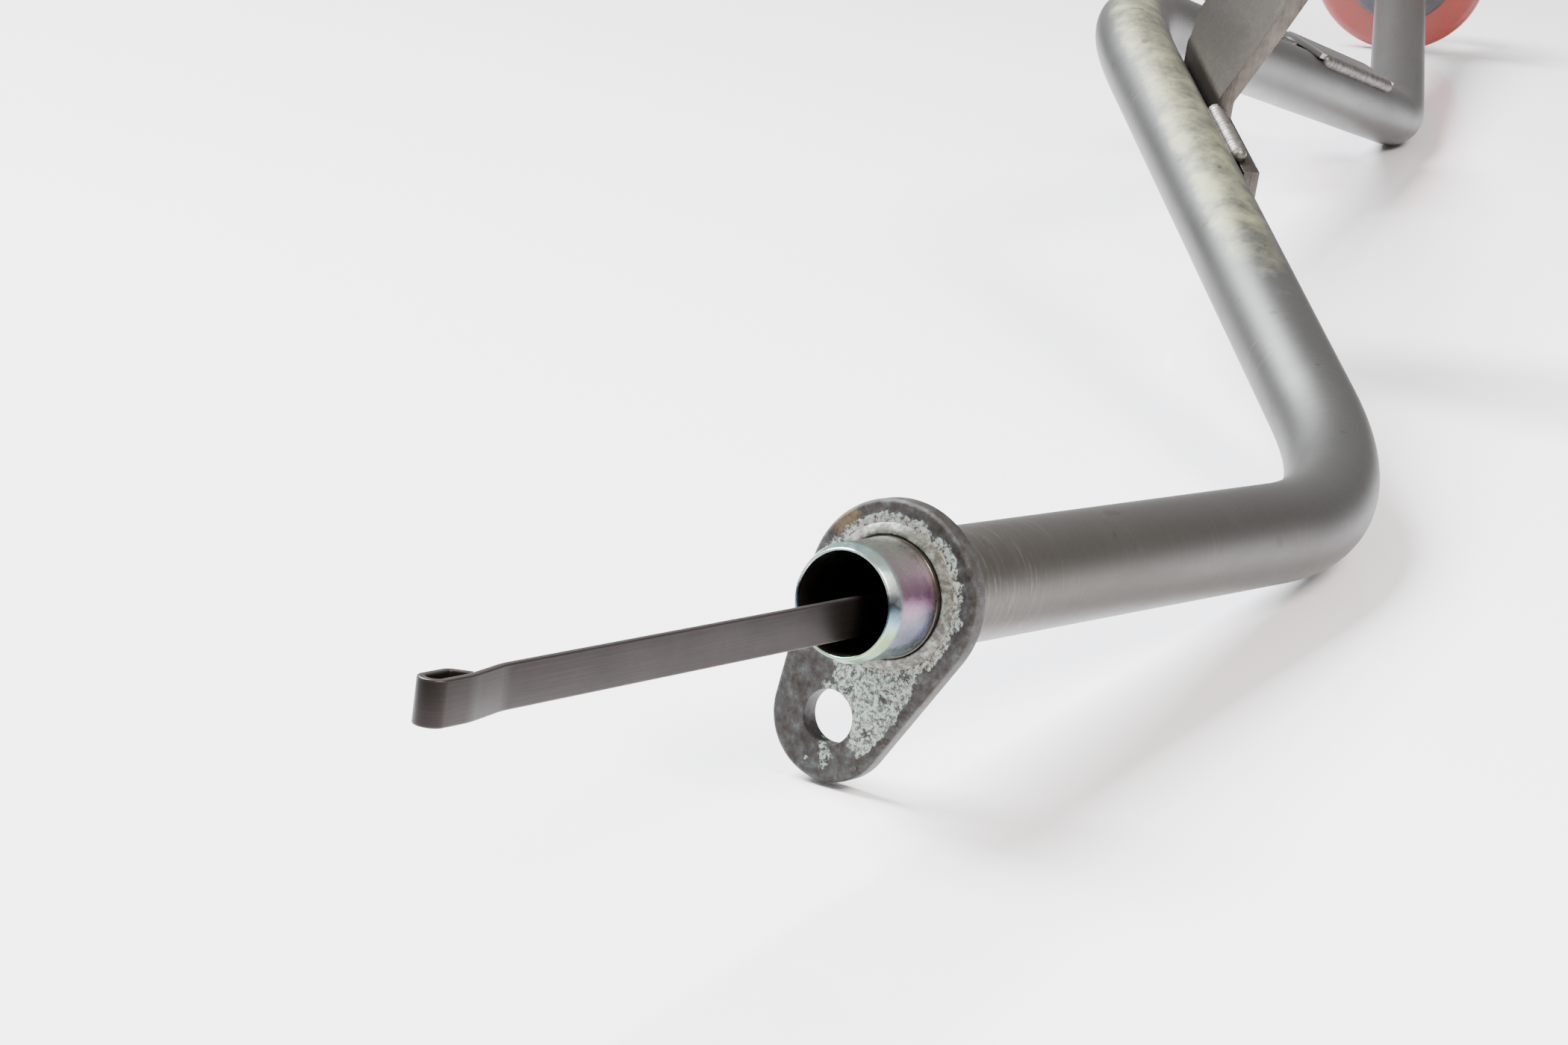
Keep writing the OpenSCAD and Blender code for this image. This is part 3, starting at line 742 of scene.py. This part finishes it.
def moulded_nylon(settings):
    """Glass-filled nylon, injection moulded and coloured red. It is half matt, with a faint flow pattern of
    darker red."""
    material, add, shader = finish("Red glass-filled nylon", IOR=1.53)
    place = add("TexCoord", take="Object")
    flow = add("TexNoise", {"Vector": place, "Scale": 1 / (9 * MM), "Detail": 5.0,
                            "Roughness": 0.6, "Distortion": 0.8})
    # spark-eroded grain of the mould, drawn 0.45 mm across so that it shows
    grain = add("TexNoise", {"Vector": place, "Scale": 1 / (0.45 * MM), "Detail": 3.0, "Roughness": 0.6})
    base = add("Mix", [flow, "#651c12", settings.nylon], data_type="RGBA")
    rough = add("MapRange", [flow, 0.3, 0.7, 0.36, 0.48])
    return surface(material, add, shader, base, rough, grain, 0.25, 0.05)


# ---------------------------------------------------------------- operators, one for each piece

class DIPSTICK_OT_tube(bpy.types.Operator):
    """Guide tube: one ring pulled along the runs and round the bends, outside and back inside."""
    bl_idname = "dipstick.tube"
    bl_label = "Guide tube"

    def execute(self, context):
        s = context.scene.dipstick
        tube = s.tube
        outer, bore = tube.diameter / 2, tube.diameter / 2 - tube.wall
        mouth = after(tube, 0) @ shift(z=-tube.spigot)
        piece = begin(bpy.ops.mesh.primitive_circle_add, "Guide_tube", vertices=80, radius=bore,
                      fill_type="NOTHING")
        carry(mouth @ shift(z=0.6 * MM))
        # turned mouth: broken inner edge, narrow face, long chamfer, and the shoulder 1 mm before the
        # flange, as (radius, millimetres from the mouth)
        end, root = outer - tube.cut, (tube.spigot - 1 * MM) / MM
        rings = [(bore, 0.6), (bore, 0.25), (bore + 0.05 * MM, 0.08), (bore + 0.13 * MM, 0.0),
                 (bore + 0.32 * MM, 0.0), (bore + 0.4 * MM, 0.06), (bore + 0.46 * MM, 0.2),
                 (end - 0.08 * MM, 1.25), (end - 0.02 * MM, 1.42), (end, 1.65), (end, root - 0.12),
                 (end + 0.06 * MM, root - 0.02), (outer, root), (outer, root + 1.2)]
        for (r0, z0), (r1, z1) in zip(rings, rings[1:]):
            pull(mouth @ shift(z=z1 * MM) @ scale(r1 / r0, r1 / r0, 1)
                 @ shift(z=-z0 * MM) @ mouth.inverted())
        steps, parts = [], 24
        begun = rings[-1][1] * MM - tube.spigot
        for n in range(1, 5):
            here = after(tube, n - 1)
            length = run(tube, n) - (begun if n == 1 else 0)
            steps.append(here @ shift(z=length) @ here.inverted())
            if n < 4:
                centre = bend_start(tube, n) @ shift(x=tube.radii[n - 1])
                steps += [centre @ turn(tube.bends[n - 1] / parts, "Y") @ centre.inverted()] * parts
        for step in steps:
            pull(step)
        top = tube_top(tube)
        pull(top @ scale(bore / outer, bore / outer, 1) @ top.inverted())
        for step in reversed(steps):
            pull(step.inverted())
        pull(mouth @ shift(z=(0.6 - rings[-1][1]) * MM) @ mouth.inverted())
        close_edit()
        mesh = piece.data
        places = mesh.attributes.new("along", "FLOAT_VECTOR", "POINT")
        for v in mesh.vertices:
            places.data[v.index].vector = place_on_tube(tube, v.co)
        at = [d.vector.copy() for d in places.data]

        def choose(face):
            spots = [at[i] for i in face.vertices]
            across = sum(math.hypot(p.x, p.y) for p in spots) / len(spots)
            if across < bore + 0.02 * MM:
                return 2
            return 1 if min(p.z for p in spots) < -1.05 * MM else 0

        dress(piece, [dull_zinc(tube), passivated_spigot(), oily_bore()],
              ["guide_tube"], choose=choose)
        return {"FINISHED"}


class DIPSTICK_OT_flange(bpy.types.Operator):
    """Punched flange: two discs hulled into one plate, bored twice, its edges rolled by the punch."""
    bl_idname = "dipstick.flange"
    bl_label = "Engine flange"

    def execute(self, context):
        s = context.scene.dipstick
        tube, flange = s.tube, s.flange
        face = after(tube, 0)
        ear = turn(flange.ear_roll, "Z") @ shift(x=flange.ear_offset)
        piece = begin(bpy.ops.mesh.primitive_cylinder_add, "Engine_flange", vertices=128,
                      radius=tube.diameter / 2 + flange.rim, depth=flange.thickness)
        bpy.ops.mesh.primitive_cylinder_add(vertices=128, radius=flange.ear_radius,
                                            depth=flange.thickness)
        carry(ear)
        bpy.ops.mesh.select_all(action="SELECT")
        bpy.ops.mesh.convex_hull()
        bpy.ops.mesh.select_all(action="SELECT")
        bpy.ops.mesh.dissolve_limited(angle_limit=math.radians(0.5))
        close_edit()
        # the punch rolls the engine-side edge more than the far one, and the drill breaks the hole's
        rolled, far_edge, hole_edge = 0.6 * MM, 0.25 * MM, 0.22 * MM
        bpy.ops.object.mode_set(mode="EDIT")
        pick("EDGE", lambda e: all(v.co.z < 0 for v in e.verts))
        bpy.ops.mesh.bevel(offset=rolled, segments=5, affect="EDGES")
        pick("EDGE", lambda e: all(v.co.z > flange.thickness / 2 - 1e-6 for v in e.verts))
        bpy.ops.mesh.bevel(offset=far_edge, segments=2, affect="EDGES")
        close_edit()
        through = 10 * MM
        bore_out(piece, Matrix.Identity(4), tube.diameter / 2, through, 96)
        bore_out(piece, ear, flange.hole / 2, through, 64)
        bpy.ops.object.mode_set(mode="EDIT")
        hole = ear.translation

        def rim_of_hole(e):
            return all(abs((v.co - hole).xy.length - flange.hole / 2) < 1e-5 for v in e.verts) and \
                abs(e.verts[0].co.z - e.verts[1].co.z) < 1e-6

        if pick("EDGE", rim_of_hole) < 100:
            raise RuntimeError("the bolt hole's edges were not found")
        bpy.ops.mesh.bevel(offset=hole_edge, segments=3, affect="EDGES")
        bpy.ops.mesh.select_mode(type="VERT")
        bpy.ops.mesh.select_all(action="SELECT")
        carry(face @ shift(z=flange.thickness / 2))
        close_edit()
        dress(piece, [corroded_flange(flange, tube)], ["engine_flange"], smooth=30)
        return {"FINISHED"}


class DIPSTICK_OT_joints(bpy.types.Operator):
    """Braze collar before the flange and weld ring behind it, each turned and then roughened."""
    bl_idname = "dipstick.joints"
    bl_label = "Flange joints"

    def execute(self, context):
        s = context.scene.dipstick
        face, r = after(s.tube, 0), s.tube.diameter / 2 / MM
        collar = turned("Braze_collar", face, in_metres([
            (r + 1.62, 0.12), (r + 1.52, -0.06), (r + 1.3, -0.2), (r + 1.0, -0.4), (r + 0.7, -0.58),
            (r + 0.45, -0.68), (r + 0.27, -0.7), (r + 0.14, -0.62), (r + 0.07, -0.4), (r + 0.02, -0.3),
            (r - 0.05, 0.12)]), sides=120, closed=True)
        # it was wiped by hand, so it isn't quite even round the tube
        for v in collar.data.vertices:
            local = face.inverted() @ v.co
            a = math.atan2(local.y, local.x)
            if local.z < 0:
                v.co += face.to_3x3() @ Vector((0, 0, 0.06 * MM * (math.sin(3 * a + 1) + math.sin(7 * a))))
        dress(collar, [burnished_collar()])
        back = turned("Flange_weld", face @ shift(z=s.flange.thickness), in_metres([
            (r + 2.3, -0.1), (r + 2.15, 0.25), (r + 1.75, 0.8), (r + 1.2, 1.35), (r + 0.6, 1.85),
            (r + 0.2, 2.15), (r - 0.05, 2.25), (r - 0.05, -0.1)]), sides=240, closed=True)
        # the bead was laid in 34 ripples round the tube
        for v in back.data.vertices:
            local = face.inverted() @ v.co
            across = math.hypot(local.x, local.y)
            out = min(max((across / MM - r) / 2.0, 0), 1)
            around = 34 * math.atan2(local.y, local.x)
            ripple = 0.09 * MM * math.sin(around + 5 * out) * math.sin(math.pi * out)
            v.co += (face.to_3x3() @ Vector((local.x / across, local.y / across, 0.8))) * ripple
        dress(back, [weld_metal()], ["flange_braze"], smooth=60)
        return {"FINISHED"}


class DIPSTICK_OT_blade(bpy.types.Operator):
    """Blade: the strip's section pulled from the stem down the tube, out of its mouth and round the
    curl at its end."""
    bl_idname = "dipstick.blade"
    bl_label = "Blade"

    def execute(self, context):
        s = context.scene.dipstick
        tube, blade = s.tube, s.blade
        half, crank, stem = math.pi, blade.crank_angle, s.handle.stem_length
        in_stem, crank_r = 14 * MM, 12 * MM

        def half_turn(angle):
            return angle - half * round(angle / half)

        flip_3 = 1 if round(tube.rolls[2] / half) % 2 == 0 else -1
        flip_2 = flip_3 * (1 if round(tube.rolls[1] / half) % 2 == 0 else -1)
        curl, lean, lean_roll = 0.9 * MM, math.radians(0.9), math.radians(20)
        leg = blade.curl - curl - blade.thickness
        steps = (
            straight(run(tube, 4) - stem + in_stem, 0, 2)
            + arc(tube.bends[2], tube.radii[2], 14)
            + straight(run(tube, 3), half_turn(tube.rolls[2]), 8)
            + arc(tube.bends[1] * flip_3, tube.radii[1], 20)
            + straight(run(tube, 2), half_turn(tube.rolls[1]), 8)
            + arc(tube.bends[0] * flip_2, tube.radii[0], 20)
            + [(0, 0, -lean_roll), (0, -lean, 0), (0, 0, lean_roll)]
            + straight(run(tube, 1), half_turn(tube.rolls[0] - half / 2), 16)
            + straight(tube.spigot + blade.out, 0, 4)
            + arc(-crank, crank_r, 6) + straight(blade.crank - 2 * MM)
            + arc(crank, crank_r, 6)
            + straight(leg - 1 * MM) + arc(math.pi, curl + blade.thickness / 2, 20)
            + straight(leg - 0.8 * MM) + arc(math.radians(58), curl, 8) + straight(2.0 * MM, 0, 2))
        begun = tube_top(tube) @ shift(z=in_stem - stem) @ turn(math.pi, "X")
        frames = [begun @ f for f in path_frames(steps)]
        piece = begin(bpy.ops.mesh.primitive_plane_add, "Dipstick_blade", size=1)
        carry(scale(blade.thickness, blade.width, 1))
        bpy.ops.mesh.bevel(offset=0.2 * MM, segments=3, affect="VERTICES")
        bpy.ops.mesh.select_all(action="SELECT")
        carry(frames[0])
        pull_along(frames)
        close_edit()
        # the strip's own place: through it, across it and along it
        places = piece.data.attributes.new("strip", "FLOAT_VECTOR", "POINT")
        lengths = [0.0]
        for last, here in zip(frames, frames[1:]):
            lengths.append(lengths[-1] + (here.translation - last.translation).length)
        inverses = [f.inverted() for f in frames]
        for v in piece.data.vertices:
            spot = min(((abs((m @ v.co).z) + (m @ v.co).length * 0.01, i) for i, m in enumerate(inverses)))[1]
            local = inverses[spot] @ v.co
            places.data[v.index].vector = (local.x, local.y, lengths[spot])
        dress(piece, [browned_spring(blade)], ["dipstick_blade"], smooth=40)
        return {"FINISHED"}


def support_frame(tube, b):
    """y up the foot towards its fold, z along the tube, x outwards."""
    return (bend_start(tube, 2) @ turn(b.support_clock, "Z") @ scale(1, -1, 1)
            @ shift(tube.diameter / 2, -b.support_foot, tangent(tube, 2) - b.support_back))


def upper_frame(tube, b):
    """x outwards from the tube, y backwards, z along the tube."""
    return (after(tube, 2) @ turn(b.upper_clock, "Z") @ scale(1, -1, 1)
            @ shift(tube.diameter / 2, -3 * MM, b.upper_at - tangent(tube, 2) - b.upper_width / 2))


SWAP = Matrix(((1, 0, 0, 0), (0, 0, 1, 0), (0, 1, 0, 0), (0, 0, 0, 1)))


def sheet_frames(steps, thickness):
    """Frames along a bent sheet: y along it, x through it, z across its width."""
    return [shift(x=thickness / 2) @ SWAP @ f @ SWAP @ shift(x=-thickness / 2) for f in path_frames(steps)]


class DIPSTICK_OT_support(bpy.types.Operator):
    """Support bracket: the foot's section pulled up, round the fold and out to the rounded end."""
    bl_idname = "dipstick.support"
    bl_label = "Support bracket"

    def execute(self, context):
        s = context.scene.dipstick
        tube, b = s.tube, s.bracket
        t, width, reach, flare = b.support_sheet, b.support_width, b.support_reach, b.support_flare
        frame_at = support_frame(tube, b)
        foot, step, end_r = b.support_foot, 23 * MM, b.support_end
        fold = 1.5 * MM + t / 2
        steps = straight(foot + t) + straight(6 * MM - t) + arc(b.support_fold, fold, 8)
        frames = sheet_frames(steps, t)
        # outline of the leg: sides as (height above the fold, low z, high z)
        centre = Vector((reach, end_r + flare / 2))
        wide = width + flare

        def touch(corner, side):
            """Point where the line from a corner touches the round end."""
            to = centre - corner
            gap = math.asin(end_r / to.length)
            heading = math.atan2(to.y, to.x) + side * gap
            span = math.sqrt(to.length ** 2 - end_r ** 2)
            return corner + Vector((math.cos(heading), math.sin(heading))) * span

        low = touch(Vector((3 * flare, 0)), -1)
        high = touch(Vector((3 * flare, wide)), 1)

        def side_at(y, touched, corner, sign):
            if y <= touched.x:
                return corner.y + (touched.y - corner.y) * (y - corner.x) / (touched.x - corner.x)
            return centre.y + sign * math.sqrt(max(end_r ** 2 - (y - centre.x) ** 2, 0))

        heights = sorted([low.x, high.x] + [centre.x + end_r * math.sin(math.radians(a))
                                            for a in range(6, 88, 6)] + [centre.x + end_r * 0.9995])
        outline = [(0, 0, width), (flare, 0, wide), (3 * flare, 0, wide)]
        outline += [(y, side_at(y, low, Vector((3 * flare, 0)), -1),
                     side_at(y, high, Vector((3 * flare, wide)), 1)) for y in heights]
        piece = begin(bpy.ops.mesh.primitive_plane_add, "Support_bracket", size=1)
        # the section: thickness along x, width along z
        carry(frames[0] @ shift(t / 2, 0, step + width / 2) @ scale(t, 1, width) @ turn(math.pi / 2, "X"))
        pull_along(frames)
        at_fold = frames[-1] @ shift(z=step)
        y0, lo0, hi0 = outline[0]
        for y1, lo1, hi1 in outline[1:]:
            k = (hi1 - lo1) / (hi0 - lo0)
            pull(at_fold @ shift(y=y1, z=lo1) @ scale(1, 1, k) @ shift(y=-y0, z=-lo0) @ at_fold.inverted())
            y0, lo0, hi0 = y1, lo1, hi1
        # the foot runs on along the tube, below the sheared step
        found = pick("FACE", lambda f: abs(f.calc_center_median().z - step) < 1e-5
                     and 0 < f.calc_center_median().y < foot + t)
        if found != 1:
            raise RuntimeError("the foot's side was not found")
        pull(shift(z=-step))
        close_edit()
        hole = at_fold @ shift(t / 2, reach, end_r + flare / 2) @ turn(math.pi / 2, "Y")
        bore_out(piece, hole, b.support_hole / 2, 8 * MM)
        soften(piece, 0.35 * MM, 3, 40)
        settle(piece, frame_at)
        dress(piece, [brushed_sheet("Oiled pressed steel", b.oiled, "#332f2b", frame_at, 0.36)],
              ["support_bracket"], smooth=40)
        beads = []
        for side in (-1, 1):
            bead = frame_at @ shift(0, foot + side * 3.9 * MM, 4 * MM)
            beads.append(weld_bead("Support_bead", bead, b.bead, step - 2 * MM))
        join_beads(beads, "Support_weld", "support_weld")
        return {"FINISHED"}


def weld_bead(name, frame_at, radius, length):
    """A caterpillar of weld: a ring pulled along with a ripple every 1.1 mm, and rounded ends."""
    ripple, ring_step = 1.1 * MM, 0.28 * MM
    count = max(int(length / ring_step), 8)
    profile = []
    for i in range(count + 1):
        z = length * i / count
        edge = min(z, length - z)
        body = math.sqrt(max(1 - (1 - min(edge / radius, 1)) ** 2, 0.02))
        profile.append((radius * body * (1 + 0.06 * math.sin(2 * math.pi * z / ripple)), z))
    return turned(name, frame_at, profile, sides=20)


def join_beads(beads, name, node_name):
    select_only(*beads)
    bpy.ops.object.join()
    beads[0].name = beads[0].data.name = name
    bpy.ops.object.mode_set(mode="EDIT")
    close_edit()
    dress(beads[0], [weld_metal()], [node_name], smooth=60)


class DIPSTICK_OT_upper(bpy.types.Operator):
    """Upper bracket: a thin section pulled along its foot, joggle and panel, with its weld beads."""
    bl_idname = "dipstick.upper"
    bl_label = "Upper bracket"

    def execute(self, context):
        s = context.scene.dipstick
        tube, b = s.tube, s.bracket
        t, width = b.upper_sheet, b.upper_width
        frame_at = upper_frame(tube, b)
        fold = 1.5 * MM + t / 2
        bent = (straight(b.upper_foot) + arc(-b.joggle, fold, 8) + straight(3 * MM)
                + arc(b.joggle, fold, 8))
        frames = sheet_frames(bent + straight(b.upper_panel), t)
        piece = begin(bpy.ops.mesh.primitive_plane_add, "Upper_bracket", size=1)
        carry(frames[0] @ shift(t / 2, 0, width / 2) @ scale(t, 1, width) @ turn(math.pi / 2, "X"))
        pull_along(frames)
        end = frames[-1]
        found = pick("EDGE", lambda e: all(abs((end.inverted() @ v.co).y) < 1e-6 for v in e.verts)
                     and abs(e.verts[0].co.z - e.verts[1].co.z) < 1e-6)
        if found != 2:
            raise RuntimeError("the panel's corners were not found")
        corner_r = 6 * MM
        bpy.ops.mesh.bevel(offset=corner_r, segments=10, affect="EDGES")
        close_edit()
        # the nut's place on the panel: up from the joggle, and in from the side
        nut_up, nut_in = 11 * MM, 10 * MM
        hole = frames[len(bent)] @ shift(t / 2, nut_up, nut_in) @ turn(math.pi / 2, "Y")
        bore_out(piece, hole, b.upper_hole / 2, 8 * MM, 48)
        soften(piece, 0.25 * MM, 3, 40)
        settle(piece, frame_at)
        dress(piece, [brushed_sheet("Zinc-plated pressed steel", b.plated, "#5d5d5a", frame_at, 0.34)],
              ["upper_bracket"], smooth=40)
        beads = [weld_bead("Upper_bead", frame_at @ shift(0, y, 4 * MM), b.bead, width - 8 * MM)
                 for y in (0, 8 * MM)]
        join_beads(beads, "Upper_weld", "upper_weld")
        weld_nut(frame_at @ frames[len(bent)] @ shift(t, nut_up, nut_in) @ turn(math.pi / 2, "Y"))
        return {"FINISHED"}


def weld_nut(frame_at):
    """Hexagon nut: its corners are turned off by a cone and its bore gets a cut thread."""
    flats, height = 10 * MM, 5 * MM
    corner = flats / math.sqrt(3)
    nut = begin(bpy.ops.mesh.primitive_cylinder_add, "Weld_nut", vertices=6, radius=corner, depth=height)
    carry(shift(z=height / 2))
    bpy.ops.mesh.subdivide(number_cuts=2)
    close_edit()
    cone = turned("Cone", Matrix.Identity(4), [
        (corner - 0.15 * MM, -0.01 * MM), (corner + 0.5 * MM, 0.4 * MM),
        (corner + 0.5 * MM, height - 0.9 * MM), (corner - 0.75 * MM, height + 0.01 * MM)], sides=96)
    modify(nut, "BOOLEAN", operation="INTERSECT", object=cone, solver="EXACT")
    bpy.data.objects.remove(cone)
    # thread drawn as rings, 0.35 mm deep
    crest, root, pitch = 2.95 * MM, 3.3 * MM, 0.95
    profile = [(3.5 * MM, -0.2 * MM), (crest, 0.35 * MM)]
    for i in range(5):
        profile += [(crest, (0.45 + i * pitch) * MM), (root, (0.85 + i * pitch) * MM)]
    profile += [(crest, height - 0.3 * MM), (3.6 * MM, height + 0.3 * MM)]
    tap = turned("Tap", Matrix.Identity(4), profile, sides=64)
    modify(nut, "BOOLEAN", operation="DIFFERENCE", object=tap, solver="EXACT")
    bpy.data.objects.remove(tap)
    settle(nut, frame_at)
    dress(nut, [yellow_chromate()], ["weld_nut"], smooth=25)


class DIPSTICK_OT_cap(bpy.types.Operator):
    """Seal cap: a rubber sleeve with two ribs and a wide round rim, turned from one profile."""
    bl_idname = "dipstick.cap"
    bl_label = "Seal cap"

    def execute(self, context):
        s = context.scene.dipstick
        r = s.tube.diameter / 2 / MM
        outline = [(r + 0.1, -0.05), (r + 0.1, -11.6), (r + 0.5, -12.0), (r + 2.2, -12.0), (r + 2.7, -11.5),
                   (r + 2.7, -10.4), (r + 2.3, -9.9), (r + 2.3, -8.4), (r + 2.7, -8.0), (r + 2.7, -6.9),
                   (r + 2.3, -6.4), (r + 2.3, -2.4), (r + 2.9, -0.9), (r + 4.2, -0.1), (15.6, 0.05),
                   (16.5, 0.3), (16.95, 0.9), (17.0, 1.6), (16.9, 2.3), (16.4, 2.8), (15.6, 3.0),
                   (5.7, 3.0), (5.7, -0.05)]
        cap = turned("Seal_cap", tube_top(s.tube), in_metres(outline), 120, True)
        soften(cap, 0.25 * MM, 2, 30)
        dress(cap, [moulded_rubber(s.handle)], ["seal_cap"], smooth=40)
        for name, finish_of in (("sealing_rings", moulded_rubber(s.handle)), ("blade_pin", bright_steel())):
            shown = frame["nodes"][name].data.materials
            shown.clear()
            shown.append(finish_of)
        return {"FINISHED"}


class DIPSTICK_OT_handle(bpy.types.Operator):
    """Handle: a round flange and a pull ring, melted together as moulded, on a grooved stem."""
    bl_idname = "dipstick.handle"
    bl_label = "Handle"

    def execute(self, context):
        s = context.scene.dipstick
        h, top = s.handle, tube_top(s.tube)
        floor, thick, ring_t = 3 * MM, 6 * MM, 8 * MM
        outer, ring, hole = h.flange / 2, h.ring / 2, h.finger / 2
        edge, soft = 2 * MM, 0.6 * MM
        disc = turned("Handle", shift(z=floor), [
            (4 * MM, -soft), (4 * MM, 0), (outer - edge, 0), (outer - soft, soft), (outer, edge),
            (outer, thick - edge), (outer - soft, thick - soft), (outer - edge, thick),
            (10 * MM, thick)], 160)
        lift = floor + thick + ring - 1.5 * MM
        ring_at = shift(z=lift) @ turn(math.radians(40), "Z") @ turn(math.pi / 2, "Y")
        corner = 2 * MM
        half = ring_t / 2
        section = []
        for cx, cz, start in ((ring - corner, half - corner, 0), (hole + corner, half - corner, 90),
                              (hole + corner, corner - half, 180), (ring - corner, corner - half, 270)):
            section += [(cx + corner * math.cos(math.radians(start + a)),
                         cz + corner * math.sin(math.radians(start + a))) for a in (0, 30, 60, 90)]
        loop = turned("Ring", ring_at, section, 96, True)
        select_only(disc, loop)
        bpy.ops.object.join()
        # melted into one moulding: the voxels are 0.5 mm, and smoothing leaves a fillet at the root
        modify(disc, "REMESH", mode="VOXEL", voxel_size=0.5 * MM, use_smooth_shade=True)
        modify(disc, "SMOOTH", factor=0.6, iterations=8)
        stem_r = h.stem / 2 / MM
        groove_r, low = stem_r - 0.6, -h.stem_length / MM
        stem = turned("Stem", Matrix.Identity(4), in_metres([
            (stem_r - 0.5, low), (stem_r, low + 0.6), (stem_r, -8.7), (groove_r, -8.7), (groove_r, -7.3),
            (stem_r, -7.3), (stem_r, -4.7), (groove_r, -4.7), (groove_r, -3.3), (stem_r, -3.3),
            (stem_r, 4.0)]), 72)
        select_only(disc, stem)
        bpy.ops.object.join()
        disc.data.transform(top)
        dress(disc, [moulded_nylon(h)], ["handle"], smooth=50)
        return {"FINISHED"}


class DIPSTICK_OT_stage(bpy.types.Operator):
    """Glossy white sheet, two soft lights, a pale room and the camera."""
    bl_idname = "dipstick.stage"
    bl_label = "Stage"

    def execute(self, context):
        s = context.scene.dipstick.studio
        low = CAD_BOX[0][2]
        floor = begin(bpy.ops.mesh.primitive_plane_add, "Floor", size=8)
        carry(shift(0, 0.5, low))
        close_edit()
        material, add, shader = finish("White acrylic sheet", Roughness=0.06, IOR=1.49)
        cloud = add("TexNoise", {"Vector": add("TexCoord", take="Object"), "Scale": 6.0, "Detail": 2.0})
        base = add("Mix", [cloud, s.floor, "#f7f5f5"], data_type="RGBA")
        add(shader, {"Base Color": base})
        floor.data.materials.append(material)

        world = bpy.data.worlds.new("Pale room")
        context.scene.world = world
        world.use_nodes = True
        # the room is darker towards its walls than overhead
        add = partial(node, world.node_tree)
        high = add("SeparateXYZ", [add("TexCoord", take="Generated")], take="Z")
        glow = add("MapRange", [high, 0.0, 0.9, 0.45 * s.sky, 1.1 * s.sky])
        add(world.node_tree.nodes["Background"], {"Color": "#f4f2f2", "Strength": glow})

        aim = Vector((0.06, 0.2, 0.0))
        for name, place_at, size, power, colour in (
                ("Right softbox", (0.62, -0.42, 0.95), 0.5, 30.0, "#fff6f0"),
                ("Left softbox", (-0.8, 0.6, 1.1), 0.8, 150.0, "#f4f8ff")):
            lamp = bpy.data.lights.new(name, "AREA")
            lamp.shape, lamp.size, lamp.energy = "SQUARE", size, power
            lamp.color = paint(colour)[:3]
            light = bpy.data.objects.new(name, lamp)
            light.location = place_at
            light.rotation_euler = (aim - light.location).to_track_quat("-Z", "Y").to_euler()
            context.scene.collection.objects.link(light)

        lens = bpy.data.cameras.new("Camera")
        lens.lens, lens.sensor_width, lens.sensor_fit = s.lens, 36.0, "HORIZONTAL"
        lens.clip_start, lens.clip_end = 0.01, 50
        eye = bpy.data.objects.new("Camera", lens)
        forward = Vector(s.forward).normalized()
        right = Vector(s.right)
        right = (right - forward * right.dot(forward)).normalized()
        up = right.cross(forward)
        turn_to = Matrix((right, up, -forward)).transposed().to_4x4()
        eye.matrix_world = Matrix.Translation(s.camera) @ turn_to
        context.scene.collection.objects.link(eye)
        context.scene.camera = eye
        return {"FINISHED"}


class DIPSTICK_PT_panel(bpy.types.Panel):
    """The pieces and their settings, in the sidebar."""
    bl_idname = "DIPSTICK_PT_panel"
    bl_label = "Engine oil dipstick"
    bl_space_type = "VIEW_3D"
    bl_region_type = "UI"
    bl_category = "Dipstick"

    def draw(self, context):
        column = self.layout.column()
        for step in STEPS:
            column.operator(step.bl_idname)
        for group in ("tube", "flange", "blade", "bracket", "handle", "studio"):
            settings = getattr(context.scene.dipstick, group)
            box = self.layout.box()
            for name in settings.__annotations__:
                box.prop(settings, name)


STEPS = (DIPSTICK_OT_tube, DIPSTICK_OT_flange, DIPSTICK_OT_joints, DIPSTICK_OT_blade,
         DIPSTICK_OT_support, DIPSTICK_OT_upper, DIPSTICK_OT_cap, DIPSTICK_OT_handle, DIPSTICK_OT_stage)
CLASSES = (TubeSettings, FlangeSettings, BladeSettings, BracketSettings, HandleSettings,
           StudioSettings, DipstickSettings, *STEPS, DIPSTICK_PT_panel)


def register():
    for made in CLASSES:
        bpy.utils.register_class(made)
    bpy.types.Scene.dipstick = PointerProperty(type=DipstickSettings)


def unregister():
    del bpy.types.Scene.dipstick
    for made in reversed(CLASSES):
        bpy.utils.unregister_class(made)


def main():
    """Makes every piece in order."""
    register()
    bpy.ops.dipstick.tube()
    bpy.ops.dipstick.flange()
    bpy.ops.dipstick.joints()
    bpy.ops.dipstick.blade()
    bpy.ops.dipstick.support()
    bpy.ops.dipstick.upper()
    bpy.ops.dipstick.cap()
    bpy.ops.dipstick.handle()
    bpy.ops.dipstick.stage()


if __name__ == "__main__":
    main()
